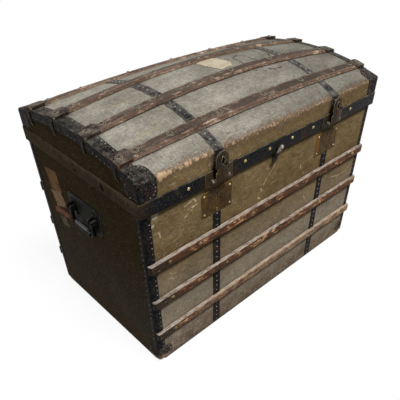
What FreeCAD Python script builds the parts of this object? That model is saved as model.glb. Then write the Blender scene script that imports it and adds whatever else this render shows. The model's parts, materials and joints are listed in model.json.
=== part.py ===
import FreeCAD, Part
import math
import os
import re

import Sketcher
from FreeCAD import Placement, Rotation, Vector

# Dome top trunk: a canvas-covered wooden box with a low lid that curves both ways, wooden slats,
# iron straps and corner bindings, two locks with hasps, a hook catch and a drop handle at each end.
# Millimetres. X runs along the trunk, the front faces -Y, Z is up, and the origin is the middle of
# the underside of the bottom board.

# --- Sizes -----------------------------------------------------------------------------------------

SIZES = {
    # base box
    "base_length": 900, "base_depth": 500, "base_height": 512,
    "board": 10, "canvas": 1.5, "bottom_board": 12, "edge_round": 8, "corner_wear": 26,
    # lid box: overhang of its canvas over that of the base, height of its walls, rise of its dome
    "seam_gap": 0.5, "lid_end_overhang": 4, "lid_front_overhang": 5, "lid_back_inset": 4,
    "lid_wall": 85, "crown_end": 34, "crown_middle": 69,
    # iron strips
    "iron": 1.2, "band": 2, "band_height": 37.5,
    "strap_width": 27, "strap_x": 228, "strap_foot": 10, "strap_drop": 46,
    "binding_front": 22, "binding_end": 20, "binding_foot": 58, "binding_gap": 2,
    "foot_cap_width": 46, "foot_cap_low": 14, "lid_cap_width": 48,
    "arch_top_width": 30, "arch_end_height": 25,
    # slats
    "slat_height": 26, "slat_thick": 10, "slat_low_z": 118, "slat_pitch": 121.5,
    "slat_overrun": 1, "slat_end_round": 7,
    "dome_slat_width": 33, "dome_slat_thick": 8, "dome_slat_overrun": 2,
    "dome_slat_inner": 65, "dome_slat_outer": 181,
    "clamp_width": 36, "clamp_reach": 45, "clamp_drop": 38, "clamp_tail_width": 18,
    # locks
    "lock_plate_width": 104, "lock_plate_height": 71, "lock_plate_top": 18, "lock_plate_round": 3,
    "slot_width": 4.4, "slot_height": 21, "keyhole_radius": 2.6, "keyhole_drop": 38,
    "keyway_width": 2.6, "keyway_height": 8,
    "case_width": 64, "case_height": 60, "case_depth": 22, "case_wall": 1.2, "case_low": 8,
    "pocket_play": 0.2, "bolt_length": 22, "bolt_height": 6, "bolt_thick": 3.1, "bolt_play": 0.2,
    "bolt_back": 6,
    # hasps
    "hasp_width": 41, "hasp_length": 72, "hasp_thick": 2.5, "hasp_lift": 12.5,
    "hasp_waist_radius": 8, "hasp_waist_bite": 5, "hasp_waist_z": 27,
    "hasp_barrel_radius": 5, "hasp_knuckle": 5.5, "hasp_play": 0.3,
    "hasp_leaf_width": 90, "hasp_leaf_rise": 1.5, "hasp_leaf_thick": 1.5,
    "hasp_knob_radius": 4.6, "hasp_knob_thick": 2, "pin_radius": 2, "pin_play": 0.06,
    "staple_centre": 50, "staple_radius": 6.5, "staple_wire": 1.5, "staple_leg": 8.5,
    # hook catch
    "catch_x": -2, "catch_plate_width": 26, "catch_plate_height": 20, "catch_plate_thick": 2,
    "catch_plate_lift": 2.5, "catch_plate_shift": 4, "catch_thick": 2.5, "catch_gap": 0.3,
    "catch_pivot_lift": 12, "catch_pivot_radius": 2.5, "catch_head_radius": 4.5,
    "catch_head_thick": 2.2,
    "catch_arm_half": 6.5, "catch_span": 31, "catch_beyond": 9, "catch_lean": 40,
    "stud_radius": 2.4, "notch_play": 0.7,
    # drop handles
    "handle_y": 10, "handle_plate_width": 152, "handle_plate_height": 83, "handle_plate_low": 347,
    "handle_plate_thick": 1.5, "handle_plate_round": 20,
    "ear_spacing": 98, "ear_width": 24, "ear_radius": 9.5, "ear_flange_low": 366,
    "ear_flange_high": 412, "ear_flange_thick": 2, "ear_slot_play": 0.4,
    "bail_pivot_z": 393, "bail_pivot_out": 10, "bail_drop": 48, "bail_arm_radius": 5.5,
    "bail_eye_radius": 7, "bail_bend": 15, "grip_radius": 7.5, "bail_pin_radius": 3,
    # back hinges
    "hinge_x": 276, "hinge_width": 50, "hinge_leaf_height": 46, "hinge_leaf_thick": 1.6,
    "hinge_barrel_radius": 4, "hinge_middle": 19, "hinge_play": 0.3,
    # nails
    "nail_radius": 4.6, "nail_rise": 2.6, "slat_nail_pitch": 98, "band_nail_pitch": 92,
    "band_nail_drop": 17, "end_nail_pitch": 105, "plate_nail_radius": 3, "plate_nail_inset": 9,
    "washer_radius": 8, "washer_thick": 0.8, "dome_nail_radius": 4, "dome_nail_seat": 0.1,
    "dome_nail_inner": 155, "dome_nail_middle": 305, "dome_nail_outer": 400, "dome_nail_end": 440,
}

DOME_STATIONS = (-1, -0.5, 0, 0.5, 1)     # shares of the lofts' half length
DOME_REACH = 12                           # how far the dome lofts run past the lid's ends
TALL = 300                                # height of the blanks that a dome layer is cut with

doc = FreeCAD.newDocument("dome_top_trunk")
sheet = doc.addObject("Spreadsheet::Sheet", "Sizes")
for row, (alias, number) in enumerate(SIZES.items(), 1):
    sheet.set(f"A{row}", alias)
    sheet.set(f"B{row}", str(number))
    sheet.setAlias(f"B{row}", alias)
doc.recompute()

# Places that several pieces share, as formulas of the sizes.
HALF = "(base_length / 2)"
FRONT = "(-base_depth / 2)"
BACK = "(base_depth / 2)"
SEAM = "base_height"
LID_HALF = f"({HALF} + lid_end_overhang)"
LID_FRONT = f"({FRONT} - lid_front_overhang)"
LID_BACK = f"({BACK} - lid_back_inset)"
LID_LOW = f"({SEAM} + seam_gap)"
BAND_TOP = f"({LID_LOW} + band_height)"
CREASE = f"({SEAM} + lid_wall)"
LID_MIDDLE = f"(({LID_FRONT} + {LID_BACK}) / 2)"
LID_HALF_DEPTH = f"(({LID_BACK} - {LID_FRONT}) / 2)"
BAND_FACE = f"({LID_FRONT} - band)"
LOCK_TOP = f"({SEAM} - lock_plate_top)"
LOCK_LOW = f"({LOCK_TOP} - lock_plate_height)"
HASP_Y = f"({BAND_FACE} - hasp_leaf_thick - hasp_play - hasp_barrel_radius)"
HASP_Z = f"({LID_LOW} + hasp_lift)"
STAPLE_CLOSED_Z = f"({HASP_Z} - staple_centre)"
CATCH_Z = f"({LID_LOW} + catch_pivot_lift)"
CATCH_FACE = f"({BAND_FACE} - catch_plate_thick - catch_gap)"
HINGE_Y = f"({BACK} + hinge_barrel_radius + hinge_play)"
HINGE_Z = f"({SEAM} + seam_gap / 2)"
SLAT_ROWS = {"bottom": 0, "middle": 1, "top": 2}
SIDES = {"left": -1, "right": 1}
FACES = {"front": -1, "back": 1}

nodes = {}

# --- Building blocks -------------------------------------------------------------------------------

WORD = re.compile(r"[a-z][a-z_0-9]*")


def formula(text):
    """A formula with each size's name pointing at the sheet."""
    return WORD.sub(lambda word: f"Sizes.{word[0]}" if word[0] in SIZES else word[0], str(text))


def value(text):
    """The number that a formula of the sizes gives."""
    return float(sheet.evalExpression(formula(text)))


def bind(item, **formulas):
    """Ties properties to formulas; base_x, base_y and base_z stand for the placement."""
    for name, text in formulas.items():
        path = f".Placement.Base.{name[-1]}" if name.startswith("base_") else name
        item.setExpression(path, formula(text))


def keep(name, item):
    """Makes an object one of the trunk's pieces."""
    item.Label = name
    nodes[name] = item
    return item


def box(name, xs, ys, zs):
    """Block between low and high formulas along each axis."""
    block = doc.addObject("Part::Box", name)
    bind(block, Length=f"{xs[1]} - ({xs[0]})", Width=f"{ys[1]} - ({ys[0]})",
         Height=f"{zs[1]} - ({zs[0]})", base_x=xs[0], base_y=ys[0], base_z=zs[0])
    return block


ALONG = {"x": Rotation(Vector(0, 1, 0), 90), "y": Rotation(Vector(1, 0, 0), -90), "z": Rotation()}


def rod(name, axis, start, radius, length):
    """Cylinder that starts at a point and runs along +axis."""
    cylinder = doc.addObject("Part::Cylinder", name)
    cylinder.Placement = Placement(Vector(), ALONG[axis])
    bind(cylinder, Radius=radius, Height=length, base_x=start[0], base_y=start[1], base_z=start[2])
    return cylinder


def ring(name, centre, axes, radius, wire, angle):
    """Piece of a torus: axes give the directions of its start, its quarter turn and its axis."""
    torus = doc.addObject("Part::Torus", name)
    torus.Placement = Placement(Vector(), Rotation(*[Vector(*axis) for axis in axes], "XYZ"))
    torus.Angle3 = angle
    bind(torus, Radius1=radius, Radius2=wire, base_x=centre[0], base_y=centre[1], base_z=centre[2])
    return torus


def cut(name, base, tool):
    item = doc.addObject("Part::Cut", name)
    item.Base, item.Tool = base, tool
    return item


def common(name, base, tool):
    item = doc.addObject("Part::Common", name)
    item.Base, item.Tool = base, tool
    return item


def fuse(name, pieces):
    item = doc.addObject("Part::MultiFuse", name)
    item.Shapes = pieces
    return item


def group(name, pieces):
    item = doc.addObject("Part::Compound", name)
    item.Links = pieces
    return item


def outward(side, near, far):
    """Low and high formulas of a span that is mirrored to the side of sign side."""
    return (near, far) if side > 0 else (f"-({far})", f"-({near})")


def about(middle, width):
    """Low and high formulas of a span about its middle."""
    return (f"({middle} - ({width}) / 2)", f"({middle} + ({width}) / 2)")


def plane(body, role):
    """The origin plane of a body with this role."""
    return next(item for item in body.Origin.OriginFeatures if item.Role == role)


def attached_sketch(body, name, role, offset):
    """Sketch on an origin plane, moved along the plane's normal."""
    sketch = body.newObject("Sketcher::SketchObject", name)
    sketch.AttachmentSupport = [(plane(body, role), "")]
    sketch.MapMode = "FlatFace"
    sketch.setExpression(".AttachmentOffset.Base.z", formula(offset))
    return sketch


def pin_point(sketch, geometry, position, place):
    """Holds one point of a sketch at two formulas."""
    for kind, text in zip(("DistanceX", "DistanceY"), place):
        index = sketch.addConstraint(Sketcher.Constraint(kind, -1, 1, geometry, position, value(text)))
        sketch.setExpression(f"Constraints[{index}]", formula(text))


def polygon(sketch, corners):
    """Closed outline of straight lines whose corners are formulas."""
    first = sketch.GeometryCount
    points = [Vector(value(u), value(v), 0) for u, v in corners]
    count = len(corners)
    for index, point in enumerate(points):
        sketch.addGeometry(Part.LineSegment(point, points[(index + 1) % count]), False)
    for index, corner in enumerate(corners):
        following = first + (index + 1) % count
        sketch.addConstraint(Sketcher.Constraint("Coincident", first + index, 2, following, 1))
        pin_point(sketch, first + index, 1, corner)


def circle(sketch, centre, radius):
    """Circle about a point that is held at two formulas."""
    place = Vector(value(centre[0]), value(centre[1]), 0)
    index = sketch.addGeometry(Part.Circle(place, Vector(0, 0, 1), value(radius)), False)
    pin_point(sketch, index, 3, centre)
    size = sketch.addConstraint(Sketcher.Constraint("Radius", index, value(radius)))
    sketch.setExpression(f"Constraints[{size}]", formula(radius))


def rectangle(us, vs):
    return [(us[0], vs[0]), (us[1], vs[0]), (us[1], vs[1]), (us[0], vs[1])]


def plate(name, role, offset, thickness, outlines, holes=(), rounded=None):
    """Sheet-metal body: outlines padded from a plane, with its outer corners rounded."""
    body = doc.addObject("PartDesign::Body", name)
    sketch = attached_sketch(body, f"{name}_outline", role, offset)
    for corners in outlines:
        polygon(sketch, corners)
    for centre, radius in holes:
        circle(sketch, centre, radius)
    pad = body.newObject("PartDesign::Pad", f"{name}_pad")
    pad.Profile = sketch
    bind(pad, Length=thickness)
    doc.recompute()
    if rounded:
        radius, spots = rounded
        names = [edge_near(pad.Shape, role, spot) for spot in spots]
        fillet = body.newObject("PartDesign::Fillet", f"{name}_round")
        fillet.Base = (pad, names)
        bind(fillet, Radius=radius)
        doc.recompute()
    return body


FLAT = {"XY_Plane": (0, 1, 2), "XZ_Plane": (0, 2, 1), "YZ_Plane": (1, 2, 0)}


def edge_near(shape, role, spot):
    """Name of the edge square to a plane whose foot on it is nearest to a spot."""
    u_axis, v_axis, depth = FLAT[role]
    u_place, v_place = value(spot[0]), value(spot[1])

    def distance(edge):
        ends = [vertex.Point for vertex in edge.Vertexes]
        if len(ends) < 2 or abs(ends[0][depth] - ends[1][depth]) < 0.1:
            return math.inf
        return math.hypot(ends[0][u_axis] - u_place, ends[0][v_axis] - v_place)

    nearest = min(range(len(shape.Edges)), key=lambda index: distance(shape.Edges[index]))
    return f"Edge{nearest + 1}"


def rounded_box(name, xs, ys, zs, radius, wanted):
    """Block with rounded edges: wanted says of an edge's middle and direction if it is rounded."""
    blank = box(f"{name}_blank", xs, ys, zs)
    doc.recompute()
    item = doc.addObject("Part::Fillet", name)
    item.Base = blank
    size = value(radius)
    item.Edges = [
        (index, size, size) for index, edge in enumerate(blank.Shape.Edges, 1)
        if wanted(edge.CenterOfMass, edge.tangentAt(edge.FirstParameter))
    ]
    return item


def dome_head(radius, rise):
    """Nail head: a shallow cap on the XY plane about +Z."""
    ball = (radius ** 2 + rise ** 2) / (2 * rise)
    low = math.degrees(math.asin((ball - rise) / ball))
    return Part.makeSphere(ball, Vector(0, 0, rise - ball), Vector(0, 0, 1), low, 90, 360)


def placed(shape, point, direction):
    """Copy of a shape that stands at a point and looks along a direction."""
    copy = shape.copy()
    copy.Placement = Placement(Vector(*point), Rotation(Vector(0, 0, 1), Vector(*direction)))
    return copy


def nail_group(name, heads):
    """Separate identical nails as one piece."""
    item = doc.addObject("Part::Feature", name)
    item.Shape = Part.makeCompound(heads)
    item.Placement = Placement()
    return keep(name, item)


# --- The dome's curved layers ----------------------------------------------------------------------


def crown_at(station):
    """Rise of the arch at a place along X, as a formula: it falls off as a parabola to the ends."""
    return f"(crown_end + (crown_middle - crown_end) * (1 - pow(({station}) / {LID_HALF}; 2)))"


def dome_solid(name, level):
    """Everything of the lid's outline under the dome surface raised by level."""
    body = doc.addObject("PartDesign::Body", name)
    sections = []
    for index, share in enumerate(DOME_STATIONS):
        station = f"{share} * ({LID_HALF} + {DOME_REACH})"
        crown = crown_at(station)
        radius = f"(pow({LID_HALF_DEPTH}; 2) + pow({crown}; 2)) / (2 * {crown})"
        shoulder = f"({CREASE} + {level})"
        sketch = attached_sketch(body, f"{name}_section_{index}", "YZ_Plane", station)
        front, back, low, high = (value(text) for text in (LID_FRONT, LID_BACK, LID_LOW, shoulder))
        size = value(radius)
        middle = Vector((front + back) / 2, high + value(crown) - size, 0)
        half = math.asin((back - front) / 2 / size)
        arc = Part.ArcOfCircle(Part.Circle(middle, Vector(0, 0, 1), size),
                               math.pi / 2 - half, math.pi / 2 + half)
        sketch.addGeometry([
            Part.LineSegment(Vector(front, low, 0), Vector(back, low, 0)),
            Part.LineSegment(Vector(back, low, 0), Vector(back, high, 0)),
            arc,
            Part.LineSegment(Vector(front, high, 0), Vector(front, low, 0)),
        ], False)
        joined = Sketcher.Constraint
        sketch.addConstraint([
            joined("Coincident", 0, 2, 1, 1), joined("Coincident", 1, 2, 2, 1),
            joined("Coincident", 2, 2, 3, 1), joined("Coincident", 3, 2, 0, 1),
        ])
        pin_point(sketch, 0, 1, (LID_FRONT, LID_LOW))
        pin_point(sketch, 0, 2, (LID_BACK, LID_LOW))
        pin_point(sketch, 1, 2, (LID_BACK, shoulder))
        pin_point(sketch, 3, 1, (LID_FRONT, shoulder))
        bend = sketch.addConstraint(joined("Radius", 2, size))
        sketch.setExpression(f"Constraints[{bend}]", formula(radius))
        sections.append(sketch)
    loft = body.newObject("PartDesign::AdditiveLoft", f"{name}_loft")
    loft.Profile = sections[0]
    loft.Sections = sections[1:]
    return body


def dome_height(x, y, level):
    """Height of the dome surface raised by level, at a point, in numbers."""
    crown = value(crown_at(x))
    half = value(LID_HALF_DEPTH)
    radius = (half ** 2 + crown ** 2) / (2 * crown)
    return value(CREASE) + level + crown - radius + math.sqrt(radius ** 2 - (y - value(LID_MIDDLE)) ** 2)


def dome_normal(x, y):
    """Direction square to the dome at a point."""
    step = 1
    slope_x = dome_height(x + step, y, 0) - dome_height(x - step, y, 0)
    slope_y = dome_height(x, y + step, 0) - dome_height(x, y - step, 0)
    return (-slope_x, -slope_y, 2 * step)


dome = {
    "drop": dome_solid("dome_drop", "(-clamp_drop)"),
    "arch": dome_solid("dome_arch", "(-arch_end_height)"),
    "ceiling": dome_solid("dome_ceiling", "(-canvas - board)"),
    "timber": dome_solid("dome_timber", "(-canvas)"),
    "cover": dome_solid("dome_cover", "0"),
    "trim": dome_solid("dome_trim", "iron"),
    "slat": dome_solid("dome_slat", "dome_slat_thick"),
    "clamp": dome_solid("dome_clamp", "(dome_slat_thick + iron)"),
}
trim_layer = cut("trim_layer", dome["trim"], dome["cover"])
slat_layer = cut("slat_layer", dome["slat"], dome["cover"])
clamp_layer = cut("clamp_layer", dome["clamp"], dome["slat"])
LID_BLANK = (LID_LOW, f"{CREASE} + {TALL}")

# --- Base box --------------------------------------------------------------------------------------


def worn_corners():
    """Cutters that dub off the four lower corners on a plane of equal legs."""
    cutters = []
    for side_name, side in SIDES.items():
        for face_name, face in FACES.items():
            cutter = doc.addObject("Part::Cylinder", f"corner_wear_{face_name}_{side_name}")
            cutter.Placement = Placement(Vector(), Rotation(Vector(0, 0, 1), Vector(side, face, -1)))
            bind(cutter, Radius="2 * corner_wear", Height="corner_wear",
                 base_x=f"{side} * ({HALF} - corner_wear / 3)",
                 base_y=f"{face} * ({BACK} - corner_wear / 3)", base_z="corner_wear / 3")
            cutters.append(cutter)
    return group("corner_wear_all", cutters)


def upright(centre, direction):
    return abs(direction.z) > 0.9


corner_cutters = worn_corners()
TIMBER_HALF = f"({HALF} - canvas)"
TIMBER_BACK = f"({BACK} - canvas)"
WALL = ("bottom_board", SEAM)

bottom_blank = rounded_box("bottom_blank", (f"-{HALF}", HALF), (FRONT, BACK), ("0", "bottom_board"),
                           "edge_round", lambda centre, way: upright(centre, way) or centre.z < 0.1)
keep("bottom_board", cut("bottom_board_piece", bottom_blank, corner_cutters))


def lock_pocket(side_name, side):
    """Room in the front board for a lock case, with play all round."""
    middle = f"{side} * strap_x"
    xs = about(middle, "case_width + 2 * pocket_play")
    low = f"{LOCK_LOW} + case_low"
    return box(f"lock_pocket_{side_name}", xs, (f"{FRONT} - 1", f"{FRONT} + canvas + board + 1"),
               (f"{low} - pocket_play", f"{low} + case_height + pocket_play"))


pockets = group("lock_pockets", [lock_pocket(*entry) for entry in SIDES.items()])

for face_name, face in FACES.items():
    near = f"({TIMBER_BACK} - board)"
    blank = rounded_box(f"{face_name}_board_round", (f"-{TIMBER_HALF}", TIMBER_HALF),
                        outward(face, near, TIMBER_BACK), WALL, "edge_round - canvas",
                        lambda centre, way, face=face: upright(centre, way)
                        and abs(centre.y - face * value(TIMBER_BACK)) < 0.1)
    board = cut(f"{face_name}_board_worn", blank, corner_cutters)
    if face_name == "front":
        board = cut("front_board_pocketed", board, pockets)
    keep(f"{face_name}_board", board)

for side_name, side in SIDES.items():
    xs = outward(side, f"({TIMBER_HALF} - board)", TIMBER_HALF)
    inside = f"({TIMBER_BACK} - board)"
    blank = box(f"{side_name}_board_blank", xs, (f"-{inside}", inside), WALL)
    keep(f"{side_name}_board", cut(f"{side_name}_board_piece", blank, corner_cutters))

canvas_outer = rounded_box("base_canvas_outer", (f"-{HALF}", HALF), (FRONT, BACK), WALL,
                           "edge_round", upright)
canvas_inner = rounded_box("base_canvas_inner", (f"-{TIMBER_HALF}", TIMBER_HALF),
                           (f"-{TIMBER_BACK}", TIMBER_BACK), WALL, "edge_round - canvas", upright)
canvas_ring = cut("base_canvas_ring", cut("base_canvas_shell", canvas_outer, canvas_inner), pockets)
keep("base_canvas", cut("base_canvas_piece", canvas_ring, corner_cutters))

# --- Slats, straps and bindings of the base ----------------------------------------------------------


def strap_pair(name, face, low, high):
    """Two iron strips down one face."""
    ys = outward(face, BACK, f"{BACK} + iron")
    return [box(f"{name}_{side_name}", about(f"{side} * strap_x", "strap_width"), ys, (low, high))
            for side_name, side in SIDES.items()]


straps = {
    "front": keep("front_straps", group("front_strap_pair",
                                        strap_pair("front_strap", -1, "strap_foot", LOCK_LOW))),
    "back": keep("back_straps", group("back_strap_pair",
                                      strap_pair("back_strap", 1, "strap_foot",
                                                 f"{SEAM} - binding_gap"))),
}

slats = {}
for face_name, face in FACES.items():
    slats[face_name] = []
    for row_name, row in SLAT_ROWS.items():
        middle = f"(slat_low_z + {row} * slat_pitch)"
        ys = outward(face, BACK, f"({BACK} + slat_thick)")
        end = f"({HALF} + slat_overrun)"
        bar = rounded_box(f"{face_name}_slat_{row_name}_bar", (f"-{end}", end), ys,
                          about(middle, "slat_height"), "slat_end_round",
                          lambda centre, way, face=face: upright(centre, way)
                          and abs(centre.y - face * value(f"{BACK} + slat_thick")) < 0.1)
        slats[face_name].append(bar)
        notched = cut(f"{face_name}_slat_{row_name}_notched", bar, straps[face_name])
        keep(f"{face_name}_slat_{row_name}", notched)
slat_bars = {face_name: group(f"{face_name}_slat_bars", bars) for face_name, bars in slats.items()}


def corner_shell(name, side, face, front_width, end_width, zs):
    """Iron angle over one upright corner of the base, open at the top and bottom."""
    xs = outward(side, f"({HALF} - {front_width})", f"({HALF} + iron)")
    ys = outward(face, f"({BACK} - {end_width})", f"({BACK} + iron)")
    angle = rounded_box(f"{name}_angle", xs, ys, zs, "edge_round + iron",
                        lambda centre, way: upright(centre, way)
                        and abs(centre.x - side * value(f"{HALF} + iron")) < 0.1
                        and abs(centre.y - face * value(f"{BACK} + iron")) < 0.1)
    return cut(f"{name}_shell", angle, canvas_outer)


foot_caps = []
for side_name, side in SIDES.items():
    for face_name, face in FACES.items():
        name = f"corner_binding_{face_name}_{side_name}"
        shell = corner_shell(name, side, face, "binding_front", "binding_end",
                             ("binding_foot", f"{SEAM} - binding_gap"))
        keep(name, cut(f"{name}_segments", shell, slat_bars[face_name]))
        cap = f"foot_cap_{face_name}_{side_name}"
        shell = corner_shell(cap, side, face, "foot_cap_width", "foot_cap_width",
                             ("foot_cap_low", "binding_foot"))
        foot_caps.append(cut(f"{cap}_worn", shell, corner_cutters))
keep("bottom_corner_caps", group("foot_cap_group", foot_caps))

# --- Locks -----------------------------------------------------------------------------------------

CASE_LOW = f"({LOCK_LOW} + case_low)"
KEYHOLE_Z = f"({STAPLE_CLOSED_Z} - keyhole_drop)"


def lock(side_name, side):
    """Lock plate with its staple slot and keyhole, the case behind it and the sliding bolt."""
    middle = f"({side} * strap_x)"
    xs, zs = about(middle, "lock_plate_width"), (LOCK_LOW, LOCK_TOP)
    slot = rectangle(about(middle, "slot_width"), about(STAPLE_CLOSED_Z, "slot_height"))
    keyway = rectangle(about(middle, "keyway_width"),
                       (f"({KEYHOLE_Z} - keyway_height)", f"({KEYHOLE_Z} - keyhole_radius - 0.5)"))
    spots = rectangle(xs, zs)
    keep(f"lock_plate_{side_name}",
         plate(f"lock_plate_{side_name}_sheet", "XZ_Plane", f"-({FRONT})", "iron",
               [spots, slot, keyway], [((middle, KEYHOLE_Z), "keyhole_radius")],
               ("lock_plate_round", spots)))

    zs = (CASE_LOW, f"({CASE_LOW} + case_height)")
    shell = box(f"lock_case_{side_name}_outer", about(middle, "case_width"),
                (FRONT, f"({FRONT} + case_depth)"), zs)
    hollow = box(f"lock_case_{side_name}_hollow", about(middle, "case_width - 2 * case_wall"),
                 (f"{FRONT} - 1", f"({FRONT} + case_depth - case_wall)"),
                 (f"{CASE_LOW} + case_wall", f"{CASE_LOW} + case_height - case_wall"))
    bolt_x = f"({middle} + bolt_back)"
    guide_xs = (bolt_x, f"({middle} + case_width / 2 - case_wall)")
    guide = box(f"lock_case_{side_name}_guide", guide_xs, (FRONT, f"({FRONT} + case_depth - case_wall)"),
                about(STAPLE_CLOSED_Z, "3 * bolt_height"))
    channel = box(f"lock_case_{side_name}_channel", guide_xs,
                  (f"{FRONT} - 1", f"({FRONT} + bolt_thick + 2 * bolt_play)"),
                  about(STAPLE_CLOSED_Z, "bolt_height + 2 * bolt_play"))
    case = fuse(f"lock_case_{side_name}_body", [
        cut(f"lock_case_{side_name}_shell", shell, hollow),
        cut(f"lock_case_{side_name}_guides", guide, channel)])
    bolt = box(f"lock_bolt_{side_name}_bar", (bolt_x, f"({bolt_x} + bolt_length)"),
               (f"({FRONT} + bolt_play)", f"({FRONT} + bolt_play + bolt_thick)"),
               about(STAPLE_CLOSED_Z, "bolt_height"))
    keep(f"lock_bolt_{side_name}", bolt)
    return case


keep("lock_cases", group("lock_case_pair", [lock(*entry) for entry in SIDES.items()]))

# --- Drop handles ----------------------------------------------------------------------------------


def handle(side_name, side):
    """Plate, two slotted ears with their pins, and the bail that hangs between them."""
    end = f"({side} * {HALF})"
    role_offset = HALF if side > 0 else f"(-{HALF} - handle_plate_thick)"
    spots = rectangle(about("handle_y", "handle_plate_width"),
                      ("handle_plate_low", "(handle_plate_low + handle_plate_height)"))
    backing = plate(f"handle_plate_{side_name}", "YZ_Plane", role_offset, "handle_plate_thick",
                    [spots], rounded=("handle_plate_round", spots))

    face = f"({HALF} + handle_plate_thick)"
    pivot_x = f"({end} + {side} * (handle_plate_thick + bail_pivot_out))"
    corner_z = f"(bail_pivot_z - bail_drop + bail_bend)"
    inside_out = outward(side, face, f"({face} + ear_flange_thick)")
    ears, pins, arms = [], [], []
    for mark, way in (("near", -1), ("far", 1)):
        name = f"ear_{side_name}_{mark}"
        middle = f"(handle_y + {way} * ear_spacing / 2)"
        start = f"({middle} - ear_width / 2)"
        ys = about(middle, "ear_width")
        flange = box(f"{name}_flange", inside_out, ys, ("ear_flange_low", "ear_flange_high"))
        cheek = box(f"{name}_cheek", outward(side, face, f"({face} + bail_pivot_out)"), ys,
                    about("bail_pivot_z", "2 * ear_radius"))
        barrel = rod(f"{name}_barrel", "y", (pivot_x, start, "bail_pivot_z"), "ear_radius", "ear_width")
        slot_xs = outward(side, f"({face} + ear_flange_thick)", f"({face} + 3 * ear_radius)")
        slot = box(f"{name}_slot", slot_xs, about(middle, "2 * bail_arm_radius + 2 * ear_slot_play"),
                   ("ear_flange_low", "ear_flange_high"))
        bore = rod(f"{name}_bore", "y", (pivot_x, start, "bail_pivot_z"), "bail_pin_radius", "ear_width")
        solid = fuse(f"{name}_solid", [flange, cheek, barrel])
        ears.append(cut(f"{name}_bored", cut(f"{name}_slotted", solid, slot), bore))
        pins.append(rod(f"bail_pin_{side_name}_{mark}", "y", (pivot_x, start, "bail_pivot_z"),
                        "bail_pin_radius", "ear_width"))
        arm = f"bail_{side_name}_{mark}"
        eye = rod(f"{arm}_eye", "y", (pivot_x, f"({middle} - bail_arm_radius)", "bail_pivot_z"),
                  "bail_eye_radius", "2 * bail_arm_radius")
        leg = rod(f"{arm}_leg", "z", (pivot_x, middle, corner_z), "bail_arm_radius",
                  "bail_drop - bail_bend")
        elbow = ring(f"{arm}_elbow", (pivot_x, f"({middle} - {way} * bail_bend)", corner_z),
                     ((0, way, 0), (0, 0, -1), (-way, 0, 0)), "bail_bend", "bail_arm_radius", 90)
        arms += [eye, leg, elbow]
    span = "(ear_spacing - 2 * bail_bend)"
    grip = rod(f"bail_{side_name}_grip", "y",
               (pivot_x, f"(handle_y - {span} / 2)", "(bail_pivot_z - bail_drop)"), "grip_radius", span)
    bores = group(f"bail_{side_name}_bores", [
        rod(f"bail_{side_name}_bore", "y", (pivot_x, "(handle_y - ear_spacing)", "bail_pivot_z"),
            "bail_pin_radius + pin_play", "2 * ear_spacing")])
    keep(f"handle_ears_{side_name}", group(f"handle_ears_{side_name}_pair", ears))
    keep(f"bail_{side_name}",
         cut(f"bail_{side_name}_bored", fuse(f"bail_{side_name}_bent", arms + [grip]), bores))
    return backing, pins


backings, pin_pairs = zip(*[handle(*entry) for entry in SIDES.items()])
keep("handle_plates", group("handle_plate_pair", backings))
keep("bail_pins", group("bail_pin_group", sum(pin_pairs, [])))

# --- Lid box ---------------------------------------------------------------------------------------

LID_TIMBER_HALF = f"({LID_HALF} - canvas)"
LID_TIMBER_FRONT = f"({LID_FRONT} + canvas)"
LID_TIMBER_BACK = f"({LID_BACK} - canvas)"
LID_INNER_HALF = f"({LID_TIMBER_HALF} - board)"
LID_SPAN = (LID_TIMBER_FRONT, LID_TIMBER_BACK)
LID_INNER_SPAN = (f"({LID_TIMBER_FRONT} + board)", f"({LID_TIMBER_BACK} - board)")

rails = {"front": (LID_TIMBER_FRONT, LID_INNER_SPAN[0]), "back": (LID_INNER_SPAN[1], LID_TIMBER_BACK)}
for face_name, ys in rails.items():
    blank = box(f"lid_{face_name}_rail_blank", (f"-{LID_TIMBER_HALF}", LID_TIMBER_HALF), ys, LID_BLANK)
    keep(f"lid_{face_name}_rail", common(f"lid_{face_name}_rail_piece", blank, dome["ceiling"]))

for side_name, side in SIDES.items():
    blank = box(f"lid_{side_name}_end_blank", outward(side, LID_INNER_HALF, LID_TIMBER_HALF),
                LID_INNER_SPAN, LID_BLANK)
    keep(f"lid_{side_name}_end", common(f"lid_{side_name}_end_piece", blank, dome["ceiling"]))

lid_blank = box("lid_blank", (f"-{LID_HALF}", LID_HALF), (LID_FRONT, LID_BACK), LID_BLANK)
lid_timber = box("lid_timber_blank", (f"-{LID_TIMBER_HALF}", LID_TIMBER_HALF), LID_SPAN, LID_BLANK)
timber_solid = common("lid_timber_solid", lid_timber, dome["timber"])
keep("dome_board", cut("dome_board_piece", timber_solid, dome["ceiling"]))
cover_solid = common("lid_cover_solid", lid_blank, dome["cover"])
keep("lid_canvas", cut("lid_canvas_piece", cover_solid, timber_solid))

# --- Iron band round the lid -----------------------------------------------------------------------

BAND_Z = (LID_LOW, BAND_TOP)
band_spans = {"front": (BAND_FACE, LID_FRONT), "back": (LID_BACK, f"({LID_BACK} + band)")}
for face_name, ys in band_spans.items():
    keep(f"lid_band_{face_name}",
         box(f"lid_band_{face_name}_strip", (f"-({LID_HALF} + band)", f"({LID_HALF} + band)"), ys, BAND_Z))
keep("lid_band_ends", group("lid_band_end_pair", [
    box(f"lid_band_{side_name}_strip", outward(side, LID_HALF, f"({LID_HALF} + band)"),
        (LID_FRONT, LID_BACK), BAND_Z) for side_name, side in SIDES.items()]))

# --- Dome slats, straps, clamps, end bindings and corner caps ----------------------------------------

DOME_SLATS = {
    "front_outer": "(-dome_slat_outer)", "front_inner": "(-dome_slat_inner)",
    "back_inner": "dome_slat_inner", "back_outer": "dome_slat_outer",
}
DOME_SLAT_HALF = f"({LID_HALF} + dome_slat_overrun)"

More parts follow.
